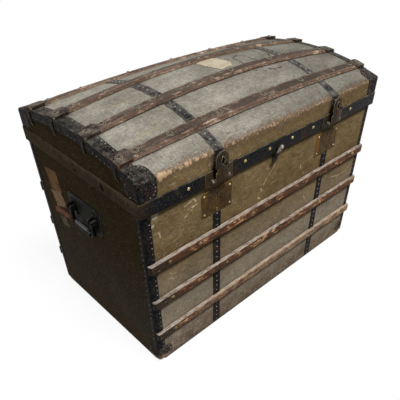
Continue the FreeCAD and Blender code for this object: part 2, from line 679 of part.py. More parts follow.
strap_parts = []
for side_name, side in SIDES.items():
    xs = about(f"{side} * strap_x", "strap_width")
    strip = box(f"dome_strap_{side_name}_blank", xs, (LID_FRONT, LID_BACK), LID_BLANK)
    arch = common(f"dome_strap_{side_name}_arch", strip, trim_layer)
    drop = (f"({CREASE} - strap_drop)", f"({CREASE} + iron)")
    front = box(f"dome_strap_{side_name}_front", xs, (f"({LID_FRONT} - iron)", LID_FRONT), drop)
    back = box(f"dome_strap_{side_name}_back", xs, (LID_BACK, f"({LID_BACK} + iron)"), drop)
    strap_parts.append(fuse(f"dome_strap_{side_name}", [arch, front, back]))
dome_straps = keep("dome_straps", group("dome_strap_pair", strap_parts))

dome_bars = []
for slat_name, middle in DOME_SLATS.items():
    blank = box(f"dome_slat_{slat_name}_blank", (f"-{DOME_SLAT_HALF}", DOME_SLAT_HALF),
                about(middle, "dome_slat_width"), LID_BLANK)
    bar = common(f"dome_slat_{slat_name}_bar", blank, slat_layer)
    dome_bars.append(bar)
    keep(f"dome_slat_{slat_name}", cut(f"dome_slat_{slat_name}_notched", bar, dome_straps))
all_dome_bars = group("dome_slat_bars", dome_bars)

clamps = []
CLAMP_FACE = f"({DOME_SLAT_HALF} + iron)"
for side_name, side in SIDES.items():
    for slat_name, middle in DOME_SLATS.items():
        name = f"clamp_{slat_name}_{side_name}"
        ys = about(middle, "clamp_width")
        top = box(f"{name}_top", outward(side, f"({CLAMP_FACE} - clamp_reach)", CLAMP_FACE), ys, LID_BLANK)
        end_xs = outward(side, f"({LID_HALF} + iron)", CLAMP_FACE)
        cheek = box(f"{name}_cheek", end_xs, ys, LID_BLANK)
        tail = box(f"{name}_tail", end_xs, about(middle, "clamp_tail_width"), LID_BLANK)
        lap = common(f"{name}_lap", top, clamp_layer)
        closed = cut(f"{name}_closed", common(f"{name}_end", cheek, dome["clamp"]), dome["cover"])
        hung = cut(f"{name}_hung", common(f"{name}_under", tail, dome["clamp"]), dome["drop"])
        clamps.append(cut(f"{name}_fitted", fuse(f"{name}_bent", [lap, closed, hung]), all_dome_bars))
keep("slat_end_clamps", group("slat_end_clamp_group", clamps))

bindings = []
CAP_INNER = f"({LID_HALF} - lid_cap_width)"
cap_edge = {"front": f"({LID_FRONT} + lid_cap_width)", "back": f"({LID_BACK} - lid_cap_width)"}
for side_name, side in SIDES.items():
    ys = (cap_edge["front"], cap_edge["back"])
    top = common(f"end_binding_{side_name}_top",
                 box(f"end_binding_{side_name}_top_blank",
                     outward(side, f"({LID_HALF} - arch_top_width)", LID_HALF), ys, LID_BLANK), trim_layer)
    rim = common(f"end_binding_{side_name}_rim",
                 box(f"end_binding_{side_name}_rim_blank",
                     outward(side, LID_HALF, f"({LID_HALF} + iron)"), ys, LID_BLANK), dome["trim"])
    rim = cut(f"end_binding_{side_name}_arch", rim, dome["arch"])
    strip = fuse(f"end_binding_{side_name}_strip", [top, rim])
    bindings.append(cut(f"end_binding_{side_name}_segments", strip, all_dome_bars))
keep("end_bindings", group("end_binding_pair", bindings))

caps = []
CAP_BLANK = (BAND_TOP, f"{CREASE} + {TALL}")
cap_front = {
    "front": ((f"({LID_FRONT} - iron)", LID_FRONT), (LID_FRONT, cap_edge["front"])),
    "back": ((LID_BACK, f"({LID_BACK} + iron)"), (cap_edge["back"], LID_BACK)),
}
for side_name, side in SIDES.items():
    for face_name, (face_ys, top_ys) in cap_front.items():
        name = f"lid_cap_{face_name}_{side_name}"
        face_plate = box(f"{name}_face", outward(side, CAP_INNER, f"({LID_HALF} + iron)"), face_ys,
                         (BAND_TOP, f"({CREASE} + iron)"))
        end_plate = common(f"{name}_end", box(f"{name}_end_blank",
                                              outward(side, LID_HALF, f"({LID_HALF} + iron)"),
                                              top_ys, CAP_BLANK), dome["trim"])
        flap = common(f"{name}_flap", box(f"{name}_flap_blank", outward(side, CAP_INNER, LID_HALF),
                                          top_ys, CAP_BLANK), trim_layer)
        caps.append(fuse(name, [face_plate, end_plate, flap]))
keep("lid_corner_caps", group("lid_cap_group", caps))

# --- Hasps -----------------------------------------------------------------------------------------


def hasp(side_name, side):
    """Leaf on the band, pin with domed ends, and the hasp with its staple, flipped up."""
    middle = f"({side} * strap_x)"
    outer = "(hasp_width / 2 + hasp_knuckle)"
    leaf = box(f"hasp_leaf_{side_name}_sheet", about(middle, "hasp_leaf_width"),
               (f"({BAND_FACE} - hasp_leaf_thick)", BAND_FACE), (LID_LOW, f"({BAND_TOP} + hasp_leaf_rise)"))
    knuckles = []
    lows = {"near": f"({middle} - {outer})", "far": f"({middle} + hasp_width / 2 + hasp_play)"}
    for mark, low in lows.items():
        width = "(hasp_knuckle - hasp_play)"
        barrel = rod(f"hasp_leaf_{side_name}_{mark}_barrel", "x", (low, HASP_Y, HASP_Z),
                     "hasp_barrel_radius", width)
        root = box(f"hasp_leaf_{side_name}_{mark}_root", (low, f"({low} + {width})"),
                   (HASP_Y, BAND_FACE), about(HASP_Z, "1.6 * hasp_barrel_radius"))
        knuckles += [barrel, root]
    pin = rod(f"hasp_pin_{side_name}_rod", "x", (f"({middle} - {outer})", HASP_Y, HASP_Z),
              "pin_radius", f"2 * {outer}")
    knobs = [rod(f"hasp_knob_{side_name}_{mark}", "x", (low, HASP_Y, HASP_Z), "hasp_knob_radius",
                 "hasp_knob_thick") for mark, low in (
                     ("near", f"({middle} - {outer} - hasp_knob_thick)"), ("far", f"({middle} + {outer})"))]
    headed_pin = fuse(f"hasp_pin_{side_name}_headed", [pin] + knobs)
    leaf_solid = cut(f"hasp_leaf_{side_name}", fuse(f"hasp_leaf_{side_name}_solid", [leaf] + knuckles), pin)

    blade_back = f"({HASP_Y} - hasp_barrel_radius + hasp_thick)"
    xs = about(middle, "hasp_width")
    top = f"({HASP_Z} + hasp_length)"
    spots = rectangle(xs, (HASP_Z, top))
    blade = plate(f"hasp_{side_name}_blade", "XZ_Plane", f"-{blade_back}", "hasp_thick", [spots],
                  rounded=("hasp_width / 2 - 0.1", spots[2:]))
    barrel = rod(f"hasp_{side_name}_barrel", "x", (xs[0], HASP_Y, HASP_Z), "hasp_barrel_radius",
                 "hasp_width")
    leg_y = f"({HASP_Y} - hasp_barrel_radius - staple_leg)"
    staple_z = f"({HASP_Z} + staple_centre)"
    legs = [rod(f"hasp_{side_name}_leg_{mark}", "y",
                (middle, leg_y, f"({staple_z} + {way} * staple_radius)"), "staple_wire",
                "staple_leg + hasp_thick / 2") for mark, way in (("low", -1), ("high", 1))]
    bow = ring(f"hasp_{side_name}_bow", (middle, leg_y, staple_z), ((0, 0, 1), (0, -1, 0), (1, 0, 0)),
               "staple_radius", "staple_wire", 180)
    bore = rod(f"hasp_{side_name}_bore", "x", (xs[0], HASP_Y, HASP_Z), "pin_radius + pin_play",
               "hasp_width")
    bites = [rod(f"hasp_{side_name}_bite_{mark}", "y",
                 (f"({middle} + {way} * (hasp_width / 2 + hasp_waist_radius - hasp_waist_bite))",
                  f"({HASP_Y} - 2 * hasp_barrel_radius)", f"({HASP_Z} + hasp_waist_z)"),
                 "hasp_waist_radius", "4 * hasp_barrel_radius") for mark, way in (("near", -1), ("far", 1))]
    solid = fuse(f"hasp_{side_name}_solid", [blade, barrel, bow] + legs)
    keep(f"hasp_{side_name}", cut(f"hasp_{side_name}_waisted", solid,
                                  group(f"hasp_{side_name}_cuts", [bore] + bites)))
    return leaf_solid, headed_pin


leaves, pins = zip(*[hasp(*entry) for entry in SIDES.items()])
keep("hasp_leaves", group("hasp_leaf_pair", leaves))
keep("hasp_pins", group("hasp_pin_pair", pins))

# --- Hook catch ------------------------------------------------------------------------------------


def catch_parts():
    """Plate and pivot on the lid, headed stud on the base, and the hook that drops over it."""
    lean = math.radians(value("catch_lean"))
    stud_x = f"(catch_x - catch_span * sin(catch_lean * 1 deg))"
    stud_z = f"({CATCH_Z} - catch_span * cos(catch_lean * 1 deg))"
    front = f"({CATCH_FACE} - catch_thick - catch_gap)"
    plate_low = f"({LID_LOW} + catch_plate_lift)"
    sheet_metal = box("catch_plate_sheet", about("(catch_x - catch_plate_shift)", "catch_plate_width"),
                      (f"({BAND_FACE} - catch_plate_thick)", BAND_FACE),
                      (plate_low, f"({plate_low} + catch_plate_height)"))
    post = rod("catch_post", "y", ("catch_x", front, CATCH_Z), "catch_pivot_radius",
               f"{BAND_FACE} - {front}")
    head = rod("catch_post_head", "y", ("catch_x", f"({front} - catch_head_thick)", CATCH_Z),
               "catch_head_radius", "catch_head_thick")
    keep("catch_plate", fuse("catch_plate_piece", [sheet_metal, post, head]))

    neck = rod("stud_neck", "y", (stud_x, front, stud_z), "stud_radius", f"{FRONT} - {front}")
    cap = rod("stud_cap", "y", (stud_x, f"({front} - catch_head_thick)", stud_z), "catch_head_radius",
              "catch_head_thick")
    keep("catch_stud", fuse("catch_stud_piece", [neck, cap]))

    back = CATCH_FACE
    eye = rod("hook_eye", "y", ("catch_x", f"({back} - catch_thick)", CATCH_Z), "catch_arm_half",
              "catch_thick")
    arm = doc.addObject("Part::Box", "hook_arm")
    arm.Placement = Placement(Vector(), Rotation(Vector(0, 1, 0), 180 + math.degrees(lean)))
    bind(arm, Length="2 * catch_arm_half", Width="catch_thick", Height="catch_span + catch_beyond",
         base_x="catch_x + catch_arm_half * cos(catch_lean * 1 deg)", base_y=f"{back} - catch_thick",
         base_z=f"{CATCH_Z} - catch_arm_half * sin(catch_lean * 1 deg)")
    wide = rod("hook_notch_outer", "y", ("catch_x", f"({back} - 2 * catch_thick)", CATCH_Z),
               "catch_span + stud_radius + notch_play", "3 * catch_thick")
    narrow = rod("hook_notch_inner", "y", ("catch_x", f"({back} - 2 * catch_thick)", CATCH_Z),
                 "catch_span - stud_radius - notch_play", "3 * catch_thick")
    seat = rod("hook_seat", "y", (stud_x, f"({back} - 2 * catch_thick)", stud_z),
               "stud_radius + notch_play", "3 * catch_thick")
    mouth = doc.addObject("Part::Box", "hook_mouth")
    mouth.Placement = Placement(Vector(), Rotation(Vector(0, 1, 0), 180 + math.degrees(lean)))
    bind(mouth, Length="2 * catch_arm_half", Width="3 * catch_thick", Height="catch_span * 2",
         base_x="catch_x", base_y=f"{back} - 2 * catch_thick", base_z=CATCH_Z)
    return eye, arm, wide, narrow, seat, mouth


eye, arm, wide, narrow, seat, mouth = catch_parts()
notch = fuse("hook_notch", [seat, common("hook_notch_way", cut("hook_notch_ring", wide, narrow), mouth)])
pivot_hole = rod("hook_pivot_hole", "y", ("catch_x", f"({CATCH_FACE} - 2 * catch_thick)", CATCH_Z),
                 "catch_pivot_radius + pin_play", "3 * catch_thick")
keep("catch_hook", cut("catch_hook_piece", fuse("hook_solid", [eye, arm]),
                       group("hook_cuts", [notch, pivot_hole])))

# --- Back hinges -----------------------------------------------------------------------------------


def back_hinge(side_name, side):
    """Base leaf with two knuckles, lid leaf with the middle knuckle, and the pin."""
    middle = f"({side} * hinge_x)"
    start = f"({middle} - hinge_width / 2)"
    inner = "(hinge_middle / 2 + hinge_play)"
    wing = f"(hinge_width / 2 - {inner})"
    low_leaf = box(f"hinge_base_{side_name}_sheet", about(middle, "hinge_width"),
                   (BACK, f"({BACK} + hinge_leaf_thick)"),
                   (f"({SEAM} - hinge_leaf_height)", f"({SEAM} - 2 * hinge_barrel_radius)"))
    low_parts = [low_leaf]
    for mark, low in (("near", start), ("far", f"({middle} + {inner})")):
        low_parts.append(rod(f"hinge_base_{side_name}_{mark}_barrel", "x", (low, HINGE_Y, HINGE_Z),
                             "hinge_barrel_radius", wing))
        low_parts.append(box(f"hinge_base_{side_name}_{mark}_root", (low, f"({low} + {wing})"),
                             (BACK, HINGE_Y), (f"({SEAM} - 2 * hinge_barrel_radius)", SEAM)))
    pin = rod(f"hinge_pin_{side_name}", "x", (start, HINGE_Y, HINGE_Z), "pin_radius", "hinge_width")
    base_leaf = cut(f"hinge_base_{side_name}", fuse(f"hinge_base_{side_name}_solid", low_parts), pin)

    back = f"({LID_BACK} + band)"
    high_leaf = box(f"hinge_lid_{side_name}_sheet", about(middle, "hinge_width"),
                    (back, f"({back} + hinge_leaf_thick)"),
                    (f"({LID_LOW} + 2 * hinge_barrel_radius)", f"({LID_LOW} + hinge_leaf_height)"))
    xs = about(middle, "hinge_middle")
    barrel = rod(f"hinge_lid_{side_name}_barrel", "x", (xs[0], HINGE_Y, HINGE_Z), "hinge_barrel_radius",
                 "hinge_middle")
    root = box(f"hinge_lid_{side_name}_root", xs, (back, HINGE_Y),
               (LID_LOW, f"({LID_LOW} + 2 * hinge_barrel_radius)"))
    bore = rod(f"hinge_lid_{side_name}_bore", "x", (xs[0], HINGE_Y, HINGE_Z), "pin_radius + pin_play",
               "hinge_middle")
    lid_leaf = cut(f"hinge_lid_{side_name}",
                   fuse(f"hinge_lid_{side_name}_solid", [high_leaf, barrel, root]), bore)
    return base_leaf, lid_leaf, pin


base_leaves, lid_leaves, hinge_pins = zip(*[back_hinge(*entry) for entry in SIDES.items()])
keep("hinge_leaves_base", group("hinge_leaf_base_pair", base_leaves))
keep("hinge_leaves_lid", group("hinge_leaf_lid_pair", lid_leaves))
keep("hinge_pins", group("hinge_pin_pair", hinge_pins))

# --- Nails -----------------------------------------------------------------------------------------

brass_head = dome_head(value("nail_radius"), value("nail_rise"))
plate_head = dome_head(value("plate_nail_radius"), value("nail_rise"))


def spread(limit, pitch):
    """Places about the middle at one pitch, within a limit."""
    count = int(value(limit) / value(pitch))
    return [index * value(pitch) for index in range(-count, count + 1)]


base_heads = []
for face in FACES.values():
    face_y = face * value(f"{BACK} + slat_thick")
    for row in SLAT_ROWS.values():
        row_z = value(f"slat_low_z + {row} * slat_pitch")
        for place in spread(HALF, "slat_nail_pitch"):
            base_heads.append(placed(brass_head, (place, face_y, row_z), (0, face, 0)))

inset = value("plate_nail_inset")
for side in SIDES.values():
    for x_way in (-1, 1):
        for z_place in (value(LOCK_LOW) + inset, value(LOCK_TOP) - inset):
            x_place = side * value("strap_x") + x_way * (value("lock_plate_width") / 2 - inset)
            base_heads.append(placed(plate_head, (x_place, value(f"{FRONT} - iron"), z_place), (0, -1, 0)))
nail_group("base_nails", base_heads)

band_heads = []
band_nail_z = value(f"{BAND_TOP} - band_nail_drop")
leaf_reach = value("hasp_leaf_width / 2 + nail_radius")
pitch = value("band_nail_pitch")
half_steps = int(value(LID_HALF) / pitch)
for step in range(-half_steps, half_steps):
    place = (step + 0.5) * pitch
    if abs(abs(place) - value("strap_x")) > leaf_reach:
        band_heads.append(placed(brass_head, (place, value(BAND_FACE), band_nail_z), (0, -1, 0)))
for side in SIDES.values():
    end_x = side * value(f"{LID_HALF} + band")
    for place in spread(LID_HALF_DEPTH, "end_nail_pitch"):
        band_heads.append(placed(brass_head, (end_x, place, band_nail_z), (side, 0, 0)))
nail_group("band_nails", band_heads)


def washered_nail():
    """Domed nail on a round washer."""
    washer = Part.makeCylinder(value("washer_radius"), value("washer_thick"))
    head = dome_head(value("dome_nail_radius"), value("nail_rise"))
    head.translate(Vector(0, 0, value("washer_thick")))
    return washer.fuse(head)


dome_heads = []
dome_nail = washered_nail()
clamp_starts = value(f"{CLAMP_FACE} - clamp_reach")
steps = [value(name) for name in ("dome_nail_inner", "dome_nail_middle", "dome_nail_outer", "dome_nail_end")]
for middle in DOME_SLATS.values():
    y_place = value(middle)
    for x_place in [-step for step in reversed(steps)] + [0] + steps:
        level = value("dome_slat_thick + dome_nail_seat")
        if abs(x_place) > clamp_starts:
            level += value("iron")
        point = (x_place, y_place, dome_height(x_place, y_place, level))
        dome_heads.append(placed(dome_nail, point, dome_normal(x_place, y_place)))
nail_group("dome_nails", dome_heads)

# --- Checks and export -------------------------------------------------------------------------------

doc.recompute()
for item in doc.Objects:
    if {"Invalid", "Error"} & set(item.State):
        raise RuntimeError(f"{item.Name} failed: {item.State}")
for name, item in nodes.items():
    if item.Shape.isNull() or not item.Shape.isValid() or item.Shape.Volume <= 0:
        raise RuntimeError(f"{name} has no valid solid")

os.makedirs("parts", exist_ok=True)
for name, item in nodes.items():
    item.Shape.exportStep(f"parts/{name}.step")
print(f"{len(nodes)} pieces")
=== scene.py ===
"""Looks of a dome top trunk: worn canvas, stained slats, black iron and tarnished brass on the CAD frame."""
from contextlib import contextmanager
import json
import math
import random

import bmesh
import bpy
from mathutils import Euler, Matrix, Vector


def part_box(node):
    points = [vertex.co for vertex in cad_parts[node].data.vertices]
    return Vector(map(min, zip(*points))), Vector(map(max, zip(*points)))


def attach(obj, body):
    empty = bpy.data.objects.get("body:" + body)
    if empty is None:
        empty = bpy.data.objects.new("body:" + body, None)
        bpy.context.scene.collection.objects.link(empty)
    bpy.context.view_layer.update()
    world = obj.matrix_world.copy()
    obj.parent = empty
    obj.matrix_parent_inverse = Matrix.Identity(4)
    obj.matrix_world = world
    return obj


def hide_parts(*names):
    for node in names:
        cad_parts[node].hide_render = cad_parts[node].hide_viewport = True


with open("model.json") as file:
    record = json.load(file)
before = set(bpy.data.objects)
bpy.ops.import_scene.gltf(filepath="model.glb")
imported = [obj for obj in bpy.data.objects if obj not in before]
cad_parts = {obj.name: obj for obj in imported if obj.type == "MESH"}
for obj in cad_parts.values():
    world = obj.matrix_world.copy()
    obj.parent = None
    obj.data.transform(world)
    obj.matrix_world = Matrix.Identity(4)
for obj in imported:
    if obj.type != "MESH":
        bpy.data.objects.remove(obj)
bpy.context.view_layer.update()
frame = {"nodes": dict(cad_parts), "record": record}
bpy.ops.object.select_all(action="DESELECT")

MM = 0.001

# --- Places read from the frame ---


def middle(node, axis):
    low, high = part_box(node)
    return (low[axis] + high[axis]) / 2


CANVAS_LOW, CANVAS_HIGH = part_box("base_canvas")
HALF, FRONT, BACK, SEAM = CANVAS_HIGH.x, CANVAS_LOW.y, CANVAS_HIGH.y, CANVAS_HIGH.z
LID_LOW, LID_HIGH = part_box("lid_canvas")
LID_HALF, LID_FRONT, LID_BACK = LID_HIGH.x, LID_LOW.y, LID_HIGH.y
LID_MIDDLE, LID_DEPTH = (LID_FRONT + LID_BACK) / 2, LID_BACK - LID_FRONT
BAND_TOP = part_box("lid_band_front")[1].z
CREASE = SEAM + 85 * MM
CROWN_END, CROWN_MIDDLE = 34 * MM, LID_HIGH.z - CREASE
ROWS = ("bottom", "middle", "top")
SLAT_Z = [middle(f"front_slat_{row}", 2) for row in ROWS]
DOME_SLATS = {place: middle(f"dome_slat_{place}", 1)
              for place in ("front_outer", "front_inner", "back_inner", "back_outer")}
STRAP_X = middle("lock_plate_right", 0)
IRON, THIN, NEAR, WELD = 1.1 * MM, 0.3 * MM, 0.1 * MM, 0.01 * MM
TOOTH, TOOTH_ROW, STRAP_WIDE = 1.6 * MM, 3 * MM, 26 * MM


def dome_height(x, y):
    """Height of the lid's canvas over a point."""
    crown = CROWN_END + (CROWN_MIDDLE - CROWN_END) * (1 - (x / LID_HALF) ** 2)
    half = LID_DEPTH / 2
    radius = (half ** 2 + crown ** 2) / (2 * crown)
    return CREASE + crown - radius + math.sqrt(radius ** 2 - (y - LID_MIDDLE) ** 2)


def dome_normal(x, y):
    step = 1 * MM
    slope_x = (dome_height(x + step, y) - dome_height(x - step, y)) / (2 * step)
    slope_y = (dome_height(x, y + step) - dome_height(x, y - step)) / (2 * step)
    return Vector((-slope_x, -slope_y, 1)).normalized()


# --- Shader tools: colours are display values from 0 to 255 ---


class Tree:
    """Short calls for building one node tree, whose patterns lie on coords."""

    def __init__(self, tree):
        self.tree, self.coords = tree, None

    def put(self, node, key, given):
        socket = node.inputs[key]
        if isinstance(given, bpy.types.NodeSocket):
            self.tree.links.new(given, socket)
        elif socket.type == "RGBA":
            socket.default_value = (*[(part / 255) ** 2.2 for part in given], 1)
        else:
            socket.default_value = given

    def node(self, kind, inputs=None, **settings):
        node = self.tree.nodes.new(kind if kind.startswith("Node") else "ShaderNode" + kind)
        for name, setting in settings.items():
            setattr(node, name, setting)
        for key, given in (inputs or {}).items():
            self.put(node, key, given)
        return node

    def math(self, operation, first, second=0.5):
        return self.node("Math", {0: first, 1: second, 2: 0.5}, operation=operation).outputs[0]

    def times(self, first, second):
        return self.math("MULTIPLY", first, second)

    def plus(self, first, second):
        return self.math("ADD", first, second)

    def most(self, first, second):
        return self.math("MAXIMUM", first, second)

    def vector(self, operation, first, second):
        key = "Scale" if operation == "SCALE" else 1
        return self.node("VectorMath", {0: first, key: second}, operation=operation).outputs

    def noise(self, scale, detail, rough, distort=0, coords=None):
        return self.node("TexNoise", {"Vector": coords or self.coords, "Scale": scale, "Detail": detail,
                                      "Roughness": rough, "Distortion": distort}).outputs["Fac"]

    def streaks(self, stretch, detail, rough, turn=(0, 0, 0), size=1, distort=0):
        """Noise drawn out along some axes and turned, for grain, threads and scratches."""
        drawn = self.node("Mapping", {"Vector": self.coords, "Scale": stretch, "Rotation": turn}).outputs[0]
        return self.noise(size, detail, rough, distort, drawn)

    def step(self, fac, low, high, out_low=0, out_high=1):
        """Spreads the part of a value from low to high over another range."""
        return self.node("MapRange", {0: fac, 1: low, 2: high, 3: out_low, 4: out_high}, clamp=True).outputs[0]

    def blend(self, fac, first, second, kind="MIX"):
        return self.node("Mix", {0: fac, 6: first, 7: second}, data_type="RGBA", blend_type=kind).outputs[2]

    def coats(self, colour, *layers):
        """Lays colours over one another; a layer is a mask, its share and a colour."""
        for mask, share, tint in layers:
            colour = self.blend(mask if share == 1 else self.times(mask, share), colour, tint)
        return colour

    def split(self, coords=None):
        return self.node("SeparateXYZ", {0: coords or self.coords}).outputs

    def upward(self):
        return self.split(self.node("TexCoord").outputs["Normal"])[2]

    def group(self, group, **inputs):
        return self.node("Group", {"Coords": self.coords, **inputs}, node_tree=group).outputs

    def join(self, source, target):
        self.tree.links.new(source, target)

    def grey(self, shade):
        return self.node("CombineXYZ", {0: shade, 1: shade, 2: shade}).outputs[0]


def shader_group(name, inputs, *outputs):
    """Empty group on Coords, and what it is filled with; an input of None is a place, others are numbers."""
    group = bpy.data.node_groups.new(name, "ShaderNodeTree")
    for socket, default in {"Coords": None, **inputs}.items():
        kind = "NodeSocketVector" if default is None else "NodeSocketFloat"
        made = group.interface.new_socket(socket, in_out="INPUT", socket_type=kind)
        if default is not None:
            made.default_value = default
    for socket in outputs:
        group.interface.new_socket(socket, in_out="OUTPUT", socket_type="NodeSocketFloat")
    tree = Tree(group)
    given = tree.node("NodeGroupInput").outputs
    tree.coords = given["Coords"]
    return group, tree, given, tree.node("NodeGroupOutput").inputs


def make_weave():
    """Woven threads seen from afar: crossed streaks. Height drives the relief, Shade the colour."""
    group, tree, given, out = shader_group("weave", {"Size": 1}, "Height", "Shade")
    tree.coords = tree.vector("SCALE", given["Coords"], given["Size"])[0]
    threads = tree.plus(tree.streaks((60, 330, 330), 3, 0.65), tree.streaks((330, 60, 60), 3, 0.65))
    mixed = tree.plus(tree.times(threads, 0.3), tree.times(tree.noise(210, 4, 0.7), 0.4))
    tree.join(mixed, out["Height"])
    tree.join(tree.step(mixed, 0.36, 0.64, 0.5, 1.5), out["Shade"])
    return group


def make_wear():
    """Rubbed edges: Mask is strong near bends of the surface, broken up by noise."""
    group, tree, given, out = shader_group("edge_wear", {"Radius": 0.003, "Amount": 1, "Scale": 60}, "Mask")
    rounded = tree.node("Bevel", {"Radius": given["Radius"]}, samples=4).outputs[0]
    plain = tree.node("NewGeometry").outputs["Normal"]
    edge = tree.step(tree.vector("DOT_PRODUCT", rounded, plain)["Value"], 0.995, 0.88)
    lifted = tree.times(tree.times(edge, given["Amount"]), tree.noise(given["Scale"], 6, 0.7))
    tree.join(tree.step(lifted, 0.36, 0.56), out["Mask"])
    return group


def make_grime_and_shade():
    """Dark grime and painted shade in corners and under edges, where the surroundings close in."""
    group, tree, given, out = shader_group("corner_grime_and_shade", {"Openness": 1}, "Mask")
    closed = tree.math("SUBTRACT", 1, given["Openness"])
    shade_and_grime = tree.times(closed, tree.plus(tree.noise(40, 5, 0.7), 0.35))
    tree.join(tree.step(shade_and_grime, 0.08, 0.5), out["Mask"])
    return group


def make_dirt():
    """Stains, pale dust and small flecks in clouds of different sizes."""
    group, tree, _, out = shader_group("dirt", {}, "Stain", "Dust", "Fleck")
    broad, fine, fleck = tree.noise(6, 6, 0.62), tree.noise(38, 6, 0.7), tree.noise(170, 3, 0.6)
    mixed = tree.plus(tree.times(broad, 0.6), tree.times(fine, 0.4))
    for name, fac, low, high in (("Stain", mixed, 0.46, 0.64), ("Dust", fine, 0.55, 0.76),
                                 ("Fleck", fleck, 0.63, 0.7)):
        tree.join(tree.step(fac, low, high), out[name])
    return group


def make_scratches():
    """Thin pale scratches along leaning directions."""
    group, tree, _, out = shader_group("scratches", {}, "Mask")
    first, second, third = (
        tree.step(tree.streaks((14, 190, 190), 2, 0.4, turn, 1.6), low, low + 0.03)
        for turn, low in (((0, 0.5, 0.5), 0.69), ((0, -0.9, -0.7), 0.7), ((0, 1.2, 1.4), 0.71)))
    tree.join(tree.most(tree.most(first, second), third), out["Mask"])
    return group


def make_crease_rub():
    """Rubbed canvas along the lid's creases: Tan where thin, Bare where worn through, pale Fleck."""
    group, tree, given, out = shader_group("crease_rub", {"More": 0}, "Tan", "Bare", "Fleck")
    _, y, z = tree.split()
    across = tree.math("SUBTRACT", tree.math("ABSOLUTE", tree.math("SUBTRACT", y, LID_MIDDLE)),
                       LID_DEPTH / 2 - 3 * MM)
    up = tree.math("SUBTRACT", z, CREASE - 4 * MM)
    apart = tree.math("SQRT", tree.plus(tree.times(across, across), tree.times(up, up)))
    patch = tree.plus(tree.times(tree.streaks((105, 34, 34), 6, 0.72), 0.62),
                      tree.times(tree.noise(12, 4, 0.6), 0.38))
    speck = tree.noise(150, 4, 0.7)
    even = tree.plus(tree.times(patch, 0.5), tree.times(speck, 0.5))
    wide = tree.plus(tree.step(apart, 0, 0.03, 0.3, 0), even)
    core = tree.plus(tree.plus(tree.step(apart, 0.001, 0.02, 0.3, 0), patch), given["More"])
    flecked = tree.plus(tree.step(apart, 0, 0.016, 0.22, 0), speck)
    for name, fac, low, high in (("Tan", wide, 0.62, 0.76), ("Bare", core, 0.82, 0.86),
                                 ("Fleck", flecked, 0.7, 0.76)):
        tree.join(tree.step(fac, low, high), out[name])
    return group


def make_long_scratch():
    """One thin scratch between two places."""
    ends = {"Start": None, "End": None, "Width": 0.0012}
    group, tree, given, out = shader_group("long_scratch", ends, "Mask")
    way = tree.vector("SUBTRACT", given["End"], given["Start"])[0]
    offset = tree.vector("SUBTRACT", given["Coords"], given["Start"])[0]
    share = tree.math("DIVIDE", tree.vector("DOT_PRODUCT", offset, way)["Value"],
                      tree.vector("DOT_PRODUCT", way, way)["Value"])
    reached = tree.vector("SCALE", way, tree.step(share, 0, 1))[0]
    apart = tree.vector("DISTANCE", offset, reached)["Value"]
    width = tree.times(given["Width"], tree.step(tree.noise(130, 3, 0.7), 0.38, 0.66, 0.1, 1.4))
    tree.join(tree.step(tree.math("DIVIDE", apart, width), 0.5, 1.2, 1, 0), out["Mask"])
    return group


WEAVE, WEAR, GRIME_AND_SHADE, DIRT = make_weave(), make_wear(), make_grime_and_shade(), make_dirt()
SCRATCHES, CREASE_RUB, LONG_SCRATCH = make_scratches(), make_crease_rub(), make_long_scratch()


def new_material(name):
    material = bpy.data.materials.new(name)
    material.use_nodes = True
    material.node_tree.nodes.clear()
    tree = Tree(material.node_tree)
    shader = tree.node("BsdfPrincipled")
    tree.join(shader.outputs[0], tree.node("OutputMaterial").inputs[0])
    tree.coords = tree.node("TexCoord").outputs["Object"]
    return material, tree, shader


def finish(tree, shader, colour, rough, gloss, height, strength, depth):
    """Joins the colour and sets the sheen and the relief of a material."""
    relief = tree.node("Bump", {"Height": height, "Strength": strength, "Distance": depth}).outputs[0]
    for key, given in (("Base Color", colour), ("Roughness", rough), ("Specular IOR Level", gloss),
                       ("Normal", relief)):
        tree.put(shader, key, given)


def over(material, colour, mask):
    """Lays one more colour over a finished material; mask gets its tree and the three axes."""
    tree, shader = Tree(material.node_tree), material.node_tree.nodes["Principled BSDF"]
    tree.coords = tree.node("TexCoord").outputs["Object"]
    under = shader.inputs["Base Color"].links[0].from_socket
    tree.join(tree.blend(mask(tree, *tree.split()), under, colour), shader.inputs["Base Color"])
    return material


# --- Canvas ---


